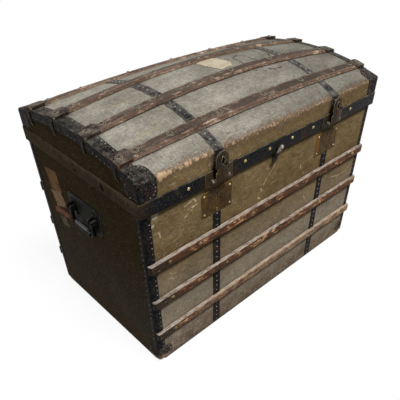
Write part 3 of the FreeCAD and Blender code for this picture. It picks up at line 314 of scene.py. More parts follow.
def canvas_material(name, dark, light, low_dark, low_light, stain):
    """Painted canvas whose tones change with its height, and the function that finishes it."""
    material, tree, shader = new_material(name)
    weave, dirt, scratch = (tree.group(group) for group in (WEAVE, DIRT, SCRATCHES))
    wear = tree.group(WEAR, Radius=0.006, Amount=0.95, Scale=60)
    x, y, z = tree.split()
    crease = tree.group(CREASE_RUB, More=tree.step(x, -0.2, -0.27, 0, 0.07))
    openness = tree.node("AmbientOcclusion", {"Distance": 0.022}, samples=4).outputs["AO"]
    cloud = tree.streaks((5, 9, 9), 7, 0.68, size=2)
    tone = tree.step(cloud, 0.3, 0.7)
    height = tree.step(tree.plus(z, tree.times(cloud, 0.2)), 0.26, 0.46)
    low = tree.times(tree.step(z, 0.26, 0.12), tree.step(x, -0.2, 0.25))
    scuff = tree.step(tree.streaks((90, 90, 240), 5, 0.75, (0, -0.5, 0)), 0.55, 0.62, 0, 0.55)
    stroke = tree.step(tree.streaks((300, 300, 46), 3, 0.6, (0, 0.35, 0)), 0.6, 0.66, 0, 0.6)
    colour = tree.coats(
        tree.blend(height, tree.blend(tone, low_dark, low_light), tree.blend(tone, dark, light)),
        (dirt["Stain"], 0.34, stain), (dirt["Dust"], 0.26, (186, 172, 146)),
        # Both ends painted darker: partly darker canvas, partly painted shade for ends that get little light.
        (tree.step(tree.math("ABSOLUTE", x), HALF - 3 * MM, HALF, 0, 0.72), 1, (44, 37, 23)))
    colour = tree.coats(
        tree.blend(1, colour, tree.grey(weave["Shade"]), "MULTIPLY"),
        (tree.step(z, 0.02, 0.1, 0.8, 0), tree.step(tree.noise(26, 7, 0.72), 0.47, 0.58), (64, 52, 42)),
        (dirt["Fleck"], 0.5, (206, 188, 156)),
        (tree.step(tree.noise(300, 3, 0.6), 0.6, 0.66, 0, 0.5), tree.step(z, 0.44, 0.2, 0.25, 1),
         (196, 184, 160)),
        (scratch["Mask"], tree.step(low, 0, 1, 0.45, 0.9), (204, 190, 162)),
        (tree.most(scuff, stroke), low, (200, 194, 180)), (crease["Tan"], 0.75, (110, 88, 72)),
        (crease["Fleck"], 0.7, (196, 170, 140)), (crease["Bare"], 0.85, (216, 180, 140)),
        (wear["Mask"], tree.step(z, 0.03, 0.06, 0, 0.8), (196, 168, 134)),
        # Grime and painted shade from ambient occlusion: dark in corners and under edges.
        (tree.group(GRIME_AND_SHADE, Openness=openness)["Mask"], 0.85, (44, 34, 26)))

    def finished(colour):
        finish(tree, shader, colour, 0.88, 0.06, weave["Height"], 0.5, 0.0012)
        return material

    return tree, x, y, colour, finished


# Rubbed patches of the front: middle and radius in mm and density. Scratches: both ends and width in mm.
RUBBED_PATCHES = (
    ((-416, 502), 15, 0.52), ((-425, 478), 9, 0.42), ((-384, 298), 30, 0.22), ((-391, 60), 50, 0.2),
    ((60, 330), 60, 0.14), ((250, 150), 80, 0.14), ((-20, 60), 90, 0.18), ((250, 50), 90, 0.2),
)
FRONT_SCRATCHES = (
    ((-6, 471), (-41, 439), 1), ((-41, 439), (-52, 424), 2), ((300, 304), (352, 292), 2),
    ((352, 292), (392, 296), 1.4), ((392, 296), (412, 312), 1.4), ((-61, 416), (-57, 406), 3.5),
    ((-70, 392), (-64, 386), 3), ((112, 424), (114, 410), 2), ((114, 410), (126, 408), 2),
    ((-380, 420), (-350, 452), 0.4), ((-372, 404), (-340, 414), 0.6), ((-332, 486), (-306, 494), 1.8),
    ((-322, 472), (-304, 476), 1.6), ((-332, 456), (-308, 468), 2.2), ((-304, 496), (-296, 486), 3),
    ((-306, 472), (-294, 478), 3), ((-410, 452), (-406, 438), 2.6), ((-260, 340), (-228, 372), 1),
    ((150, 300), (172, 268), 1.2), ((20, 280), (34, 300), 1), ((240, 232), (262, 214), 1.4),
)


def upright_canvas():
    """Olive canvas of the walls: rubbed patches and long scratches in front, a brown speckled foot."""
    tree, _, _, colour, finished = canvas_material(
        "worn_canvas", (112, 92, 60), (150, 128, 92), (138, 125, 107), (172, 159, 140), (78, 64, 46))
    nearest = 0
    for (x, z), radius, density in RUBBED_PATCHES:
        apart = tree.vector("DISTANCE", tree.coords, (x * MM, FRONT, z * MM))["Value"]
        nearest = tree.most(nearest, tree.step(apart, radius * 0.3 * MM, radius * MM, density, 0))
    strokes = tree.streaks((110, 110, 170), 5, 0.75, (0, 0.35, 0), 1.4)
    colour = tree.blend(tree.step(tree.plus(nearest, strokes), 0.74, 0.8, 0, 0.75), colour, (222, 208, 178))
    for (x0, z0), (x1, z1), wide in FRONT_SCRATCHES:
        scratch = tree.group(LONG_SCRATCH, Start=(x0 * MM, FRONT, z0 * MM), End=(x1 * MM, FRONT, z1 * MM),
                             Width=wide * MM)
        colour = tree.coats(colour, (scratch["Mask"], 0.8, (232, 210, 168)))
    canvas = finished(colour)
    over(canvas, (104, 84, 68), lambda tree, x, y, z: tree.times(
        tree.step(z, 0.105, 0.045), tree.step(tree.noise(34, 6, 0.75), 0.4, 0.6, 0.25, 0.75)))
    return over(canvas, (176, 154, 134), lambda tree, x, y, z: tree.times(
        tree.step(z, 0.13, 0.05), tree.step(tree.noise(190, 5, 0.8), 0.55, 0.62, 0, 0.6)))


# Corners in mm of the rubbed lines on the dome.
DOME_MARKS = (
    ((83, 8), (108, 20), (128, 3), (124, -28), (133, -44)),
    ((93, -46), (95, -40), (76, -41), (80, -23), (83, 8)),
    ((204, -14), (187, -44), (160, -46)), ((204, -14), (240, -40), (262, -34)),
    ((70, -87), (90, -92), (102, -104)), ((112, -90), (131, -106), (163, -104)),
)
DOME_STREAKS = (((-347, -10), (-282, -13)), ((-364, -145), (-302, -143)), ((-300, -60), (-262, -58)))


def dome_canvas():
    """Grey canvas of the dome, darker to the right, with the outline of a stain and dark rubbed marks."""
    tree, x, y, colour, finished = canvas_material(
        "dome_canvas", (126, 121, 110), (172, 167, 155), (126, 121, 110), (172, 167, 155), (98, 91, 80))
    front = tree.times(tree.step(y, LID_FRONT + 66 * MM, LID_FRONT + 56 * MM, 0, 0.6),
                       tree.step(x, -0.08, 0.08))
    shaded = tree.most(tree.step(x, -0.14, 0.2, 0, 0.66), front)
    colour = tree.blend(shaded, colour, tree.blend(1, colour, tree.grey(0.55), "MULTIPLY"))
    sway = 14 * MM
    ripple = tree.node("TexNoise", {"Vector": tree.coords, "Scale": 40.0}).outputs["Color"]
    bent = tree.vector("ADD", tree.coords, tree.vector("SCALE", ripple, sway)[0])[0]
    for lines, wide, share, tint in ((DOME_STREAKS, 8 * MM, 0.3, (172, 162, 120)),
                                     (DOME_MARKS, 4 * MM, 0.85, (44, 37, 34))):
        for line in lines:
            spots = [(x * MM + sway / 2, y * MM + sway / 2, dome_height(x * MM, y * MM) + sway / 2)
                     for x, y in line]
            for start, end in zip(spots, spots[1:]):
                mark = tree.group(LONG_SCRATCH, Coords=bent, Start=start, End=end, Width=wide)
                colour = tree.coats(colour, (mark["Mask"], share, tint))
    return finished(colour)


# --- Wood ---


def wood_material(name, dark, light, under, worn, chips=0.0, dust_and_highlight=0.0, end_dark=0.0, grain=(9, 110, 110)):
    """Stained wood with its grain along one axis: chipped paint, pale upper sides of dust and painted
    highlight, rubbed edges.
    """
    material, tree, shader = new_material(name)
    lines = tree.streaks(grain, 8, 0.72, distort=0.4)
    dirt, cloud = tree.group(DIRT), tree.noise(15, 6, 0.7)
    torn, dust = tree.streaks((38, 120, 120), 7, 0.75), tree.streaks((34, 170, 170), 6, 0.72)
    lifted = tree.plus(tree.times(cloud, 0.35), tree.times(torn, 0.65))
    settled = tree.times(tree.step(tree.upward(), 0.15, 0.6), tree.step(torn, 0.4, 0.5, 0.25, 1))
    colour = tree.coats(
        tree.blend(tree.step(lines, 0.36, 0.64), dark, light), (dirt["Stain"], 0.6, (44, 34, 28)),
        (tree.step(lifted, 0.5, 0.54, 0, chips), 1, under), (tree.step(lifted, 0.56, 0.58, 0, chips), 1, worn),
        (tree.step(tree.split()[0], -0.36, -0.4, 0, end_dark), tree.step(cloud, 0.36, 0.46), (46, 40, 30)),
        (dirt["Fleck"], 0.7, (206, 192, 166)),
        (tree.group(WEAR, Radius=0.003, Amount=1.3, Scale=48)["Mask"], 0.8, worn),
        # Pale upper sides: dust, and partly a painted highlight where the tops face the light.
        (settled, dust_and_highlight, tree.blend(tree.step(dust, 0.38, 0.62), (124, 112, 102), (194, 182, 168))))
    relief = tree.math("SUBTRACT", lines, tree.step(lifted, 0.5, 0.56, 0, 0.5))
    finish(tree, shader, colour, tree.step(lines, 0.3, 0.7, 0.55, 0.82), 0.12, relief, 0.6, 0.0014)
    return material


def base_slat_wood():
    """Stained slats: the bottom row is rubbed pale, and the ends are painted black with shade on their sides
    below the tops.
    """
    wood = wood_material("stained_slats", (64, 42, 30), (110, 74, 52), (148, 98, 64), (226, 186, 140),
                         0.92, 0.95, 0.9)
    over(wood, (184, 156, 128), lambda tree, x, y, z: tree.times(
        tree.times(tree.step(z, 0.15, 0.14), tree.step(x, -0.38, -0.2)),
        tree.step(tree.streaks((40, 130, 130), 8, 0.8), 0.46, 0.52, 0.05, 0.6)))
    # Painted shade: the slat ends go black where they do not face up.
    return over(wood, (34, 29, 23), lambda tree, x, y, z: tree.times(
        tree.step(tree.math("ABSOLUTE", x), HALF - 6 * MM, HALF - 3 * MM),
        tree.step(tree.upward(), 0.3, 0.7, 0.9, 0)))


def bare_boards():
    """Unpainted boards, grey with dirt at the foot of the base."""
    boards = wood_material("bare_boards", (132, 104, 72), (176, 148, 108), (176, 148, 108), (190, 165, 125),
                           grain=(9, 90, 90))
    return over(boards, (86, 78, 68), lambda tree, x, y, z: tree.step(
        tree.plus(z, tree.times(tree.noise(50, 4, 0.7), 0.004)), 0.0145, 0.018, 0.92, 0))


def dome_slat_wood():
    """Faded top of the dome slats: greenish patches, dark on the right half and on the front slat."""
    wood = wood_material("dome_slat_wood", (62, 50, 45), (128, 110, 99), (138, 117, 102), (196, 180, 162), 0.5)
    over(wood, (78, 72, 60), lambda tree, x, y, z: tree.step(
        tree.streaks((12, 60, 60), 6, 0.7), 0.5, 0.58, 0, 0.65))
    return over(wood, (54, 44, 38), lambda tree, x, y, z: tree.most(
        tree.step(x, -0.14, 0.1, 0.06, 0.68), tree.step(y, -0.14, -0.16, 0, 0.36)))


# --- Metal ---


def metal_material(name, dark, light, worn, metallic=0.2, rough=0.5, amount=1.0, dust=0.3, rust=0.0,
                   grain=0.0, settled=0.0):
    """Aged metal: clouded colour, rubbed edges, rust, dust, a pale grain and dirt on its upper sides."""
    material, tree, shader = new_material(name)
    dirt = tree.group(DIRT)
    cloud, speck, patch = tree.noise(55, 8, 0.7), tree.noise(230, 5, 0.75), tree.noise(17, 6, 0.7)
    lying = tree.times(tree.step(tree.upward(), 0.4, 0.8), tree.step(cloud, 0.42, 0.6))
    colour = tree.coats(
        tree.blend(tree.step(cloud, 0.36, 0.66), dark, light), (dirt["Stain"], 0.5, (26, 21, 17)),
        (dirt["Dust"], dust, (150, 138, 118)), (tree.step(speck, 0.54, 0.62, 0, grain), 1, (158, 152, 142)),
        (tree.step(patch, 0.56, 0.66, 0, rust), 1, (104, 62, 38)), (lying, settled, (140, 134, 124)),
        (tree.group(WEAR, Radius=0.0018, Amount=amount, Scale=60)["Mask"], 1, worn))
    tree.put(shader, "Metallic", metallic)
    finish(tree, shader, colour, tree.step(cloud, 0.3, 0.7, rough - 0.1, rough + 0.18), 0.035,
           tree.plus(cloud, tree.times(speck, 0.5)), 0.5, 0.0008)
    return material


# Dark, light and worn colour, metallic, roughness, edge wear, dust, rust, grain and settled dirt.
METAL = {name: metal_material(name, *given) for name, given in {
    "black_iron": ((14, 15, 17), (34, 34, 35), (112, 102, 88), 0.0, 0.5, 0.9, 0.16, 0.3, 0.14, 0.3),
    "tarnished_steel": ((62, 50, 38), (104, 90, 70), (206, 192, 162), 0.3, 0.45, 1.4, 0.3, 0.3),
    "plain_steel": ((90, 88, 84), (140, 136, 130), (190, 186, 180), 0.7),
    "tarnished_brass": ((60, 44, 25), (102, 80, 48), (206, 176, 112), 0.2, 0.5, 1.2, 0.15, 0.1, 0.15),
    "brass_heads": ((150, 130, 84), (222, 204, 150), (250, 240, 205), 0.3, 0.35, 0.8, 0.15),
    "dull_zinc": ((34, 34, 31), (72, 72, 65), (206, 206, 192), 0.0, 0.55, 1.5, 0.2),
    "fibre_strip": ((96, 82, 64), (134, 118, 96), (160, 136, 104), 0.0, 0.8, 0.8, 0.3, 0.2),
    "cap_iron": ((15, 15, 17), (38, 38, 40), (150, 134, 114), 0.0, 0.5, 1.2, 0.15, 0.2, 0.42, 0.2),
    "foot_iron": ((28, 25, 22), (70, 62, 54), (150, 124, 98), 0.0, 0.7, 1.2, 0.5, 0.4, 0.5),
    "clamp_tin": ((36, 30, 26), (76, 65, 57), (150, 132, 110), 0.1, 0.55, 1.0, 0.25, 0.3, 0.1, 0.4),
    "strap_iron": ((30, 31, 34), (62, 63, 66), (150, 146, 136), 0.0, 0.5, 1.1, 0.2, 0.15, 0.35, 0.4),
    "band_iron": ((18, 19, 22), (40, 41, 43), (120, 112, 98), 0.0, 0.5, 1.0, 0.2, 0.2, 0.2, 0.3),
    "bail_iron": ((8, 8, 9), (18, 18, 20), (46, 46, 48), 0.0, 0.4, 0.6, 0.1, 0.1),
    "hasp_bronze": ((42, 33, 23), (82, 68, 48), (190, 178, 150), 0.1, 0.45, 1.4, 0.2, 0.3, 0.15, 0.3),
    "knob_steel": ((150, 146, 136), (232, 229, 220), (244, 242, 236), 0.0, 0.35, 0.8, 0.05),
    "catch_steel": ((112, 104, 92), (186, 178, 164), (225, 220, 205), 0.1, 0.4, 0.6, 0.1),
    "tack_steel": ((124, 108, 96), (220, 214, 202), (232, 226, 212), 0.1, 0.45, 0.6, 0.1),
    "catch_iron": ((26, 24, 22), (54, 49, 43), (110, 100, 86), 0.0, 0.5, 0.8, 0.1, 0.2),
    # Near-black for painted shade: the hasp slots, the end slits and the line round the handle plates.
    "painted_shade_black": ((8, 7, 6), (18, 15, 12), (60, 50, 40), 0.0, 0.8, 0.4, 0.1),
    "washer_iron": ((42, 37, 31), (96, 88, 76), (210, 202, 180), 0.1, 0.5, 2.2, 0.2, 0.2, 0.2),
}.items()}


def age_and_shade_nail_heads():
    """Bright on the plates and the band, browned on the slats, and painted black with shade on the two ends."""
    half_slat = 12 * MM
    for slat_z in SLAT_Z:
        over(METAL["brass_heads"], (96, 72, 46), lambda tree, x, y, z: tree.times(
            tree.step(tree.math("ABSOLUTE", tree.math("SUBTRACT", z, slat_z)),
                      half_slat, half_slat + 1 * MM, 1, 0),
            tree.step(tree.noise(30, 3, 0.6), 0.4, 0.6, 0.95, 0.5)))
    # Painted shade: the nail heads on the two ends are made black.
    over(METAL["brass_heads"], (12, 10, 9), lambda tree, x, y, z: tree.step(
        tree.math("ABSOLUTE", x), HALF, HALF + 1 * MM, 0, 0.92))


def age_lock_plates():
    """The right plate is bright along its left edge."""
    right_half, bright_end, ragged = 100 * MM, 201 * MM, 22 * MM
    over(METAL["tarnished_brass"], (134, 96, 44), lambda tree, x, y, z: tree.times(
        tree.step(x, right_half, right_half + 10 * MM),
        tree.step(tree.plus(x, tree.times(tree.noise(70, 4, 0.7), ragged)), bright_end, bright_end + 4 * MM,
                  0.8, 0)))


def age_band():
    """Dust along the band's upper edge and rust at its left end."""
    over(METAL["band_iron"], (112, 106, 90), lambda tree, x, y, z: tree.times(
        tree.step(z, BAND_TOP - 3 * MM, BAND_TOP - 1.5 * MM),
        tree.step(tree.noise(45, 4, 0.6), 0.42, 0.55, 0, 0.8)))
    over(METAL["band_iron"], (66, 48, 36), lambda tree, x, y, z: tree.times(
        tree.step(x, -HALF + 34 * MM, -HALF + 10 * MM),
        tree.step(tree.noise(36, 5, 0.7), 0.42, 0.52, 0.15, 0.8)))


def paint_bail_highlights():
    """Drop handles get a painted highlight, a reflection of the sky, on the sides that face up below the grip's
    top.
    """
    grip_top = 362 * MM

    def sky_highlight(tree, x, y, z):
        return tree.times(tree.step(z, grip_top, grip_top + 4 * MM, 1, 0), tree.step(tree.upward(), 0.5, 0.82))

    nodes = METAL["bail_iron"].node_tree
    tree = Tree(nodes)
    tree.coords = tree.node("TexCoord").outputs["Object"]
    tree.put(nodes.nodes["Principled BSDF"], "Metallic", tree.times(sky_highlight(tree, *tree.split()), 0.2))
    # Painted highlight: a pale streak on the bails' upward sides.
    over(METAL["bail_iron"], (116, 118, 117), sky_highlight)


def age_small_irons():
    """Pale worn foot caps and catch head, a painted highlight along the hasp barrels' upper sides; dim tacks at
    the corners; a dark catch stud.
    """
    barrel_foot, stud_top, corner, plate_face = 525.5 * MM, 511 * MM, 50 * MM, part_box("catch_plate")[0].y
    over(METAL["foot_iron"], (164, 136, 116), lambda tree, x, y, z: tree.step(
        tree.math("SUBTRACT", tree.times(tree.noise(60, 5, 0.7), 0.05), z), -0.004, 0.006, 0, 0.85))
    # Painted highlight on the upward sides of the hasp barrels.
    over(METAL["hasp_bronze"], (176, 164, 138), lambda tree, x, y, z: tree.times(
        tree.step(z, barrel_foot + 1.5 * MM, barrel_foot), tree.step(tree.upward(), 0.1, 0.4, 0, 0.75)))
    over(METAL["tack_steel"], (62, 48, 42), lambda tree, x, y, z: tree.times(
        tree.step(tree.math("ABSOLUTE", x), HALF - corner, HALF - corner + 4 * MM),
        tree.step(tree.noise(120, 3, 0.6), 0.38, 0.6, 0.9, 0.3)))
    over(METAL["catch_steel"], (22, 18, 14), lambda tree, x, y, z: tree.step(
        z, stud_top + 4 * MM, stud_top, 0, 0.9))
    over(METAL["catch_iron"], (214, 208, 196), lambda tree, x, y, z: tree.step(
        y, plate_face + 2.6 * MM, plate_face + 2.4 * MM))


age_and_shade_nail_heads()
age_lock_plates()
age_band()
paint_bail_highlights()
age_small_irons()

# --- Paper ---


def paper_material(name, ground, mark):
    """Old paper, browned and rubbed through in places."""
    material, tree, shader = new_material(name)
    blot = tree.noise(42, 5, 0.7)
    colour = tree.coats(ground, (tree.step(tree.noise(300, 3, 0.6), 0.4, 0.6, 0, 0.3), 1, (120, 96, 66)),
                        (tree.step(blot, 0.5, 0.6, 0, 0.8), 1, mark),
                        (tree.group(DIRT)["Stain"], 0.3, (70, 52, 36)))
    finish(tree, shader, colour, 0.9, 0.5, blot, 0.4, 0.0008)
    return material


PAPER = {name: paper_material(f"{name}_paper", ground, mark) for name, ground, mark in (
    ("cream", (210, 198, 174), (180, 160, 134)), ("label", (232, 198, 150), (190, 144, 98)),
    ("tan", (178, 136, 86), (104, 64, 38)), ("grey", (122, 112, 96), (92, 80, 64)),
    ("red", (170, 118, 86), (132, 54, 38)),
)}

# --- Paint of the CAD nodes ---

SLOT_LOOK = {
    **METAL, "canvas": upright_canvas(), "timber": bare_boards(), "slat_wood": base_slat_wood(),
    "aged_iron": METAL["tarnished_steel"], "steel": METAL["plain_steel"],
    "aged_brass": METAL["tarnished_brass"], "brass_nails": METAL["brass_heads"],
    "zinc_plate": METAL["dull_zinc"],
}
DOME_CANVAS = dome_canvas()
DOME_SLAT_LOOKS = (
    dome_slat_wood(),
    wood_material("dome_slat_side", (76, 59, 50), (122, 100, 85), (142, 116, 98), (204, 182, 156), 0.5),
    # Ridge look: paler wood with more worn chips, partly a painted highlight along the slats' edges.
    wood_material("dome_slat_ridge", (76, 60, 52), (134, 114, 98), (156, 132, 110), (212, 192, 166), 0.9),
)
OWN_LOOK = {
    "dome_nails": "washer_iron", "bail_left": "bail_iron", "bail_right": "bail_iron",
    "hasp_left": "hasp_bronze", "hasp_right": "hasp_bronze", "hasp_leaves": "hasp_bronze",
    "hasp_pins": "knob_steel", "catch_plate": "catch_iron", "catch_hook": "catch_steel",
    "catch_stud": "catch_steel", "lid_band_front": "band_iron", "lid_band_back": "band_iron",
}
SLOT_OF_NODE = {entry["node"]: entry["material_slot"] for entry in frame["record"]["subparts"]}
BODY_OF_NODE = {node: body for body, members in frame["record"]["behaviour"]["bodies"].items()
                for node in members}


def paint(piece, *materials):
    piece.data.materials.clear()
    for material in materials:
        piece.data.materials.append(material)


for node_name, node_object in frame["nodes"].items():
    paint(node_object, SLOT_LOOK[OWN_LOOK.get(node_name, SLOT_OF_NODE[node_name])])

# --- Modelling tools ---


def only(piece):
    """Makes one piece active and selected alone."""
    bpy.ops.object.select_all(action="DESELECT")
    piece.select_set(True)
    bpy.context.view_layer.objects.active = piece


def added(name, size=(1, 1, 1)):
    """The piece just added, named and scaled, with its place and turn applied."""
    piece = bpy.context.active_object
    piece.name, piece.scale = name, size
    only(piece)
    bpy.ops.object.transform_apply(location=True, rotation=True, scale=True)
    return piece


@contextmanager
def editing(piece):
    only(piece)
    bpy.ops.object.mode_set(mode="EDIT")
    bpy.ops.mesh.select_all(action="DESELECT")
    yield
    bpy.ops.object.mode_set(mode="OBJECT")


def pick_all():
    bpy.ops.mesh.select_all(action="SELECT")


def pick(kind, test):
    """Selects the VERT, EDGE or FACE elements of the edited mesh whose middle passes a test."""
    bpy.ops.mesh.select_mode(type=kind)
    bpy.ops.mesh.select_all(action="DESELECT")
    data = bpy.context.edit_object.data
    mesh = bmesh.from_edit_mesh(data)
    for item in {"VERT": mesh.verts, "EDGE": mesh.edges, "FACE": mesh.faces}[kind]:
        corners = [item] if kind == "VERT" else item.verts
        if test(sum((corner.co for corner in corners), Vector()) / len(corners), item):
            item.select_set(True)
    mesh.select_flush_mode()
    bmesh.update_edit_mesh(data)


def pick_rim(test):
    """Selects the open edges whose middle passes a test."""
    pick("EDGE", lambda spot, edge: edge.is_boundary and test(spot))


def pull(y=0.0, z=0.0):
    """Extrudes what is selected by a distance."""
    bpy.ops.mesh.extrude_region_move(TRANSFORM_OT_translate={"value": (0, y, z)})


def shift(x=0.0, y=0.0, z=0.0):
    bpy.ops.transform.translate(value=(x, y, z))


def shape(piece, kind, **settings):
    """Adds one modifier and applies it."""
    modifier = piece.modifiers.new(kind.lower(), kind)
    for name, setting in settings.items():
        setattr(modifier, name, setting)
    only(piece)
    bpy.ops.object.modifier_apply(modifier=modifier.name)


def thicken(piece, thickness=IRON, offset=1):
    shape(piece, "SOLIDIFY", thickness=thickness, offset=offset)


def soften(piece, width, segments, turn, **more):
    """Rounds the edges that turn by more than an angle in degrees."""
    shape(piece, "BEVEL", width=width, segments=segments, limit_method="ANGLE", angle_limit=math.radians(turn),
          **more)


def add_sheet(name, middle, size, cuts, turn=(0, 0, 0)):
    """Flat grid of cells at its place, turned by angles in degrees."""
    bpy.ops.mesh.primitive_grid_add(x_subdivisions=cuts[0], y_subdivisions=cuts[1], size=1, location=middle,
                                    rotation=[math.radians(angle) for angle in turn])
    return added(name, (*size, 1))


def twin(piece, name, axis=None, about=0.0):
    """Copy of a piece with its own mesh, mirrored across a plane square to an axis."""
    other = piece.copy()
    other.data = piece.data.copy()
    other.name = name
    bpy.context.collection.objects.link(other)
    if axis is not None:
        flip, centre = [1, 1, 1], [0, 0, 0]
        flip[axis], centre[axis] = -1, about
        with editing(other):
            pick_all()
            bpy.ops.transform.resize(value=flip, center_override=centre)
            bpy.ops.mesh.remove_doubles(threshold=WELD)
            bpy.ops.mesh.normals_make_consistent(inside=False)
    return other


def loose_twin(node, name, flatten=False):
    """Copy of a CAD node that rides on nothing yet, with doubled vertices merged and flat faces joined."""
    piece = twin(frame["nodes"][node], name)
    piece.parent = None
    for key in [key for key in piece.keys() if key.startswith("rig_")]:
        del piece[key]
    with editing(piece):
        pick_all()
        bpy.ops.mesh.remove_doubles(threshold=2 * WELD)
        if flatten:
            bpy.ops.mesh.dissolve_limited(angle_limit=math.radians(0.5))
    return piece


def joined(pieces, name, material):
    bpy.ops.object.select_all(action="DESELECT")
    for piece in pieces:
        piece.select_set(True)
    bpy.context.view_layer.objects.active = pieces[0]
    bpy.ops.object.join()
    pieces[0].name = name
    paint(pieces[0], material)
    return pieces[0]


def four_corners(piece, name, material, about=0.0):
    """Joins a front left piece with its twins at the other three corners."""
    lefts = [piece, twin(piece, "back_left", 1, about)]
    return joined(lefts + [twin(left, "right", 0) for left in lefts], name, material)


def fit(piece, body, slot, *stands_for, smooth=40):
    """Shades a finished piece, lets it ride on its body and stand for CAD nodes."""
    only(piece)
    bpy.ops.object.shade_smooth_by_angle(angle=math.radians(smooth))
    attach(piece, body)
    if stands_for:
        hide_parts(*stands_for)


def notch(axis, pitch, test, out):
    """Draws every second vertex of an edge inwards, for a toothed outline."""
    pick("VERT", lambda spot, _: test(spot) and int(round(spot[axis] / pitch)) % 2 == 0)
    shift(*out)


def trim_round(centre, radius, axes, angles):
    """Cuts an edited sheet to a rounded corner, facet by facet; axes give the plane of the arc."""
    for angle in angles:
        way = [0, 0, 0]
        way[axes[0]], way[axes[1]] = math.cos(math.radians(angle)), math.sin(math.radians(angle))
        spot = [centre[axis] + radius * way[axis] for axis in range(3)]
        pick_all()
        bpy.ops.mesh.bisect(plane_co=spot, plane_no=way, clear_outer=True, use_fill=False)


# --- Former for everything that is laid over the dome ---

# Height from which sheets are pressed down, and the facets of a round corner in degrees.
ABOVE = 800 * MM
LOBE = (15, 32, 45, 58, 75)


def make_former():
    """Sheet in the shape of the dome, a little larger than it, that strips are pressed on."""
    former = add_sheet("former", (0, LID_MIDDLE, 0), (2 * LID_HALF + 24 * MM, LID_DEPTH + 16 * MM), (80, 72))
    for vertex in former.data.vertices:
        vertex.co.z = dome_height(vertex.co.x, vertex.co.y)
    return former


FORMER = make_former()


def lay(piece, lift=0.0):
    """Presses a sheet down on the former."""
    shape(piece, "SHRINKWRAP", target=FORMER, wrap_method="PROJECT", use_project_z=True,
          use_positive_direction=False, use_negative_direction=True, wrap_mode="ON_SURFACE")
    if lift:
        with editing(piece):
            pick_all()
            shift(z=lift)


# --- Lid ---


def lid_skin():
    """Canvas of the lid: the dome, turned down over soft edges to the four sides."""
    flat_enough = 0.75
    skin = add_sheet("lid_skin", (0, LID_MIDDLE, ABOVE), (2 * LID_HALF, LID_DEPTH), (76, 42))
    lay(skin)
    with editing(skin):
        pick_rim(lambda spot: True)
        pull(z=-40 * MM)
        bpy.ops.transform.resize(value=(1, 1, 0), center_override=(0, 0, LID_LOW.z))
    soften(skin, 5 * MM, 3, 40)
    paint(skin, SLOT_LOOK["canvas"], DOME_CANVAS)
    for face in skin.data.polygons:
        face.material_index = 1 if face.normal.z > flat_enough else 0
    thicken(skin, 1.4 * MM, -1)
    fit(skin, "lid", "canvas", "lid_canvas", smooth=50)


def dome_slat(place, y):
    """Slat bent along the dome: flat top, sloping sides and ridges between them, paler with worn chips and a
    painted highlight.
    """
    node = f"dome_slat_{place}"
    wide, deep, fall = 33 * MM, 8 * MM, 4.5 * MM
    dent, ridge = 0.35 * MM, 1.1 * MM

    def across(spot):
        return abs(spot.y - dome_normal(spot.x, spot.y)[1] * deep - y)

    def above(spot):
        return spot.z - dome_height(spot.x, spot.y)

    slat = add_sheet(f"{node}_bent", (0, y, ABOVE), (2 * LID_HALF + 4 * MM, wide), (110, 5))
    lay(slat)
    thicken(slat, deep)
    with editing(slat):
        pick("VERT", lambda spot, _: across(spot) > wide * 0.42 and above(spot) > deep / 2)
        shift(z=-fall)
        pick("VERT", lambda spot, _: above(spot) > 2 * MM)
        bpy.ops.transform.vertex_random(offset=dent, seed=int(1000 * (y + 1)))
    paint(slat, *DOME_SLAT_LOOKS)
    for face in slat.data.polygons:
        face.material_index = 1 if across(face.center) > wide * 0.33 else 0
    soften(slat, ridge, 2, 24, material=2)
    fit(slat, "lid", "slat_wood", node)


def slat_clamp(y):
    """Tin clamp over the left end of a dome slat: sides turned down, and a tail that ends in a hook."""
    end = -(LID_HALF + 2.4 * MM)
    reach, wide, lift = 45 * MM, 35 * MM, 8.3 * MM
    side_drop, end_drop, corner_cut = 5 * MM, 8.5 * MM, 5 * MM
    tail = wide * 1.5 / 7
    tin = add_sheet("clamp", (end + reach / 2, y, ABOVE), (reach, wide), (8, 7))
    lay(tin, lift)
    with editing(tin):
        pick("VERT", lambda spot, _: spot.x > end + reach - 1 * MM and abs(spot.y - y) > wide / 2 - 1 * MM)
        shift(x=-corner_cut)
        pick_rim(lambda spot: abs(spot.y - y) > wide / 2 - NEAR)
        pull(z=-side_drop)
        pick_rim(lambda spot: spot.x < end + NEAR and spot.z > CREASE)
        pull(z=-end_drop)
        pick_rim(lambda spot: spot.x < end + NEAR and abs(spot.y - y) < tail)
        for across, down, narrow in ((0, 9, 0.9), (0, 9, 0.82), (-1, 8, 0.8), (-2.5, 6, 0.8), (-4, 3.5, 0.8),
                                     (-3.5, 0, 0.7)):
            pull(across * MM, -down * MM)
            bpy.ops.transform.resize(value=(1, narrow, 1), center_override=(end, y + across * MM, 0))
    thicken(tin, 1 * MM)
    soften(tin, 0.5 * MM, 2, 40)
    return tin


def slat_clamps():
    lefts = [slat_clamp(y) for y in DOME_SLATS.values()]
    rights = [twin(left, "clamp_twin", 0) for left in lefts]
    clamps = joined(lefts + rights, "slat_end_clamps_tin", METAL["clamp_tin"])
    fit(clamps, "lid", "aged_iron", "slat_end_clamps")


def strap_pair(name, sheet_at, lift, material, body, node):
    """Two straps, made from the sheets at their places: a bead is raised near each edge."""
    straps = []
    bead, bead_half = STRAP_WIDE * 0.36, STRAP_WIDE * 0.08
    for x in (-STRAP_X, STRAP_X):
        strap = sheet_at(x)
        with editing(strap):
            pick("VERT", lambda spot, _: abs(abs(spot.x - x) - bead) < bead_half)
            shift(*lift)
        thicken(strap)
        soften(strap, 0.4 * MM, 2, 50)
        straps.append(strap)
    fit(joined(straps, name, METAL[material]), body, "black_iron", node)


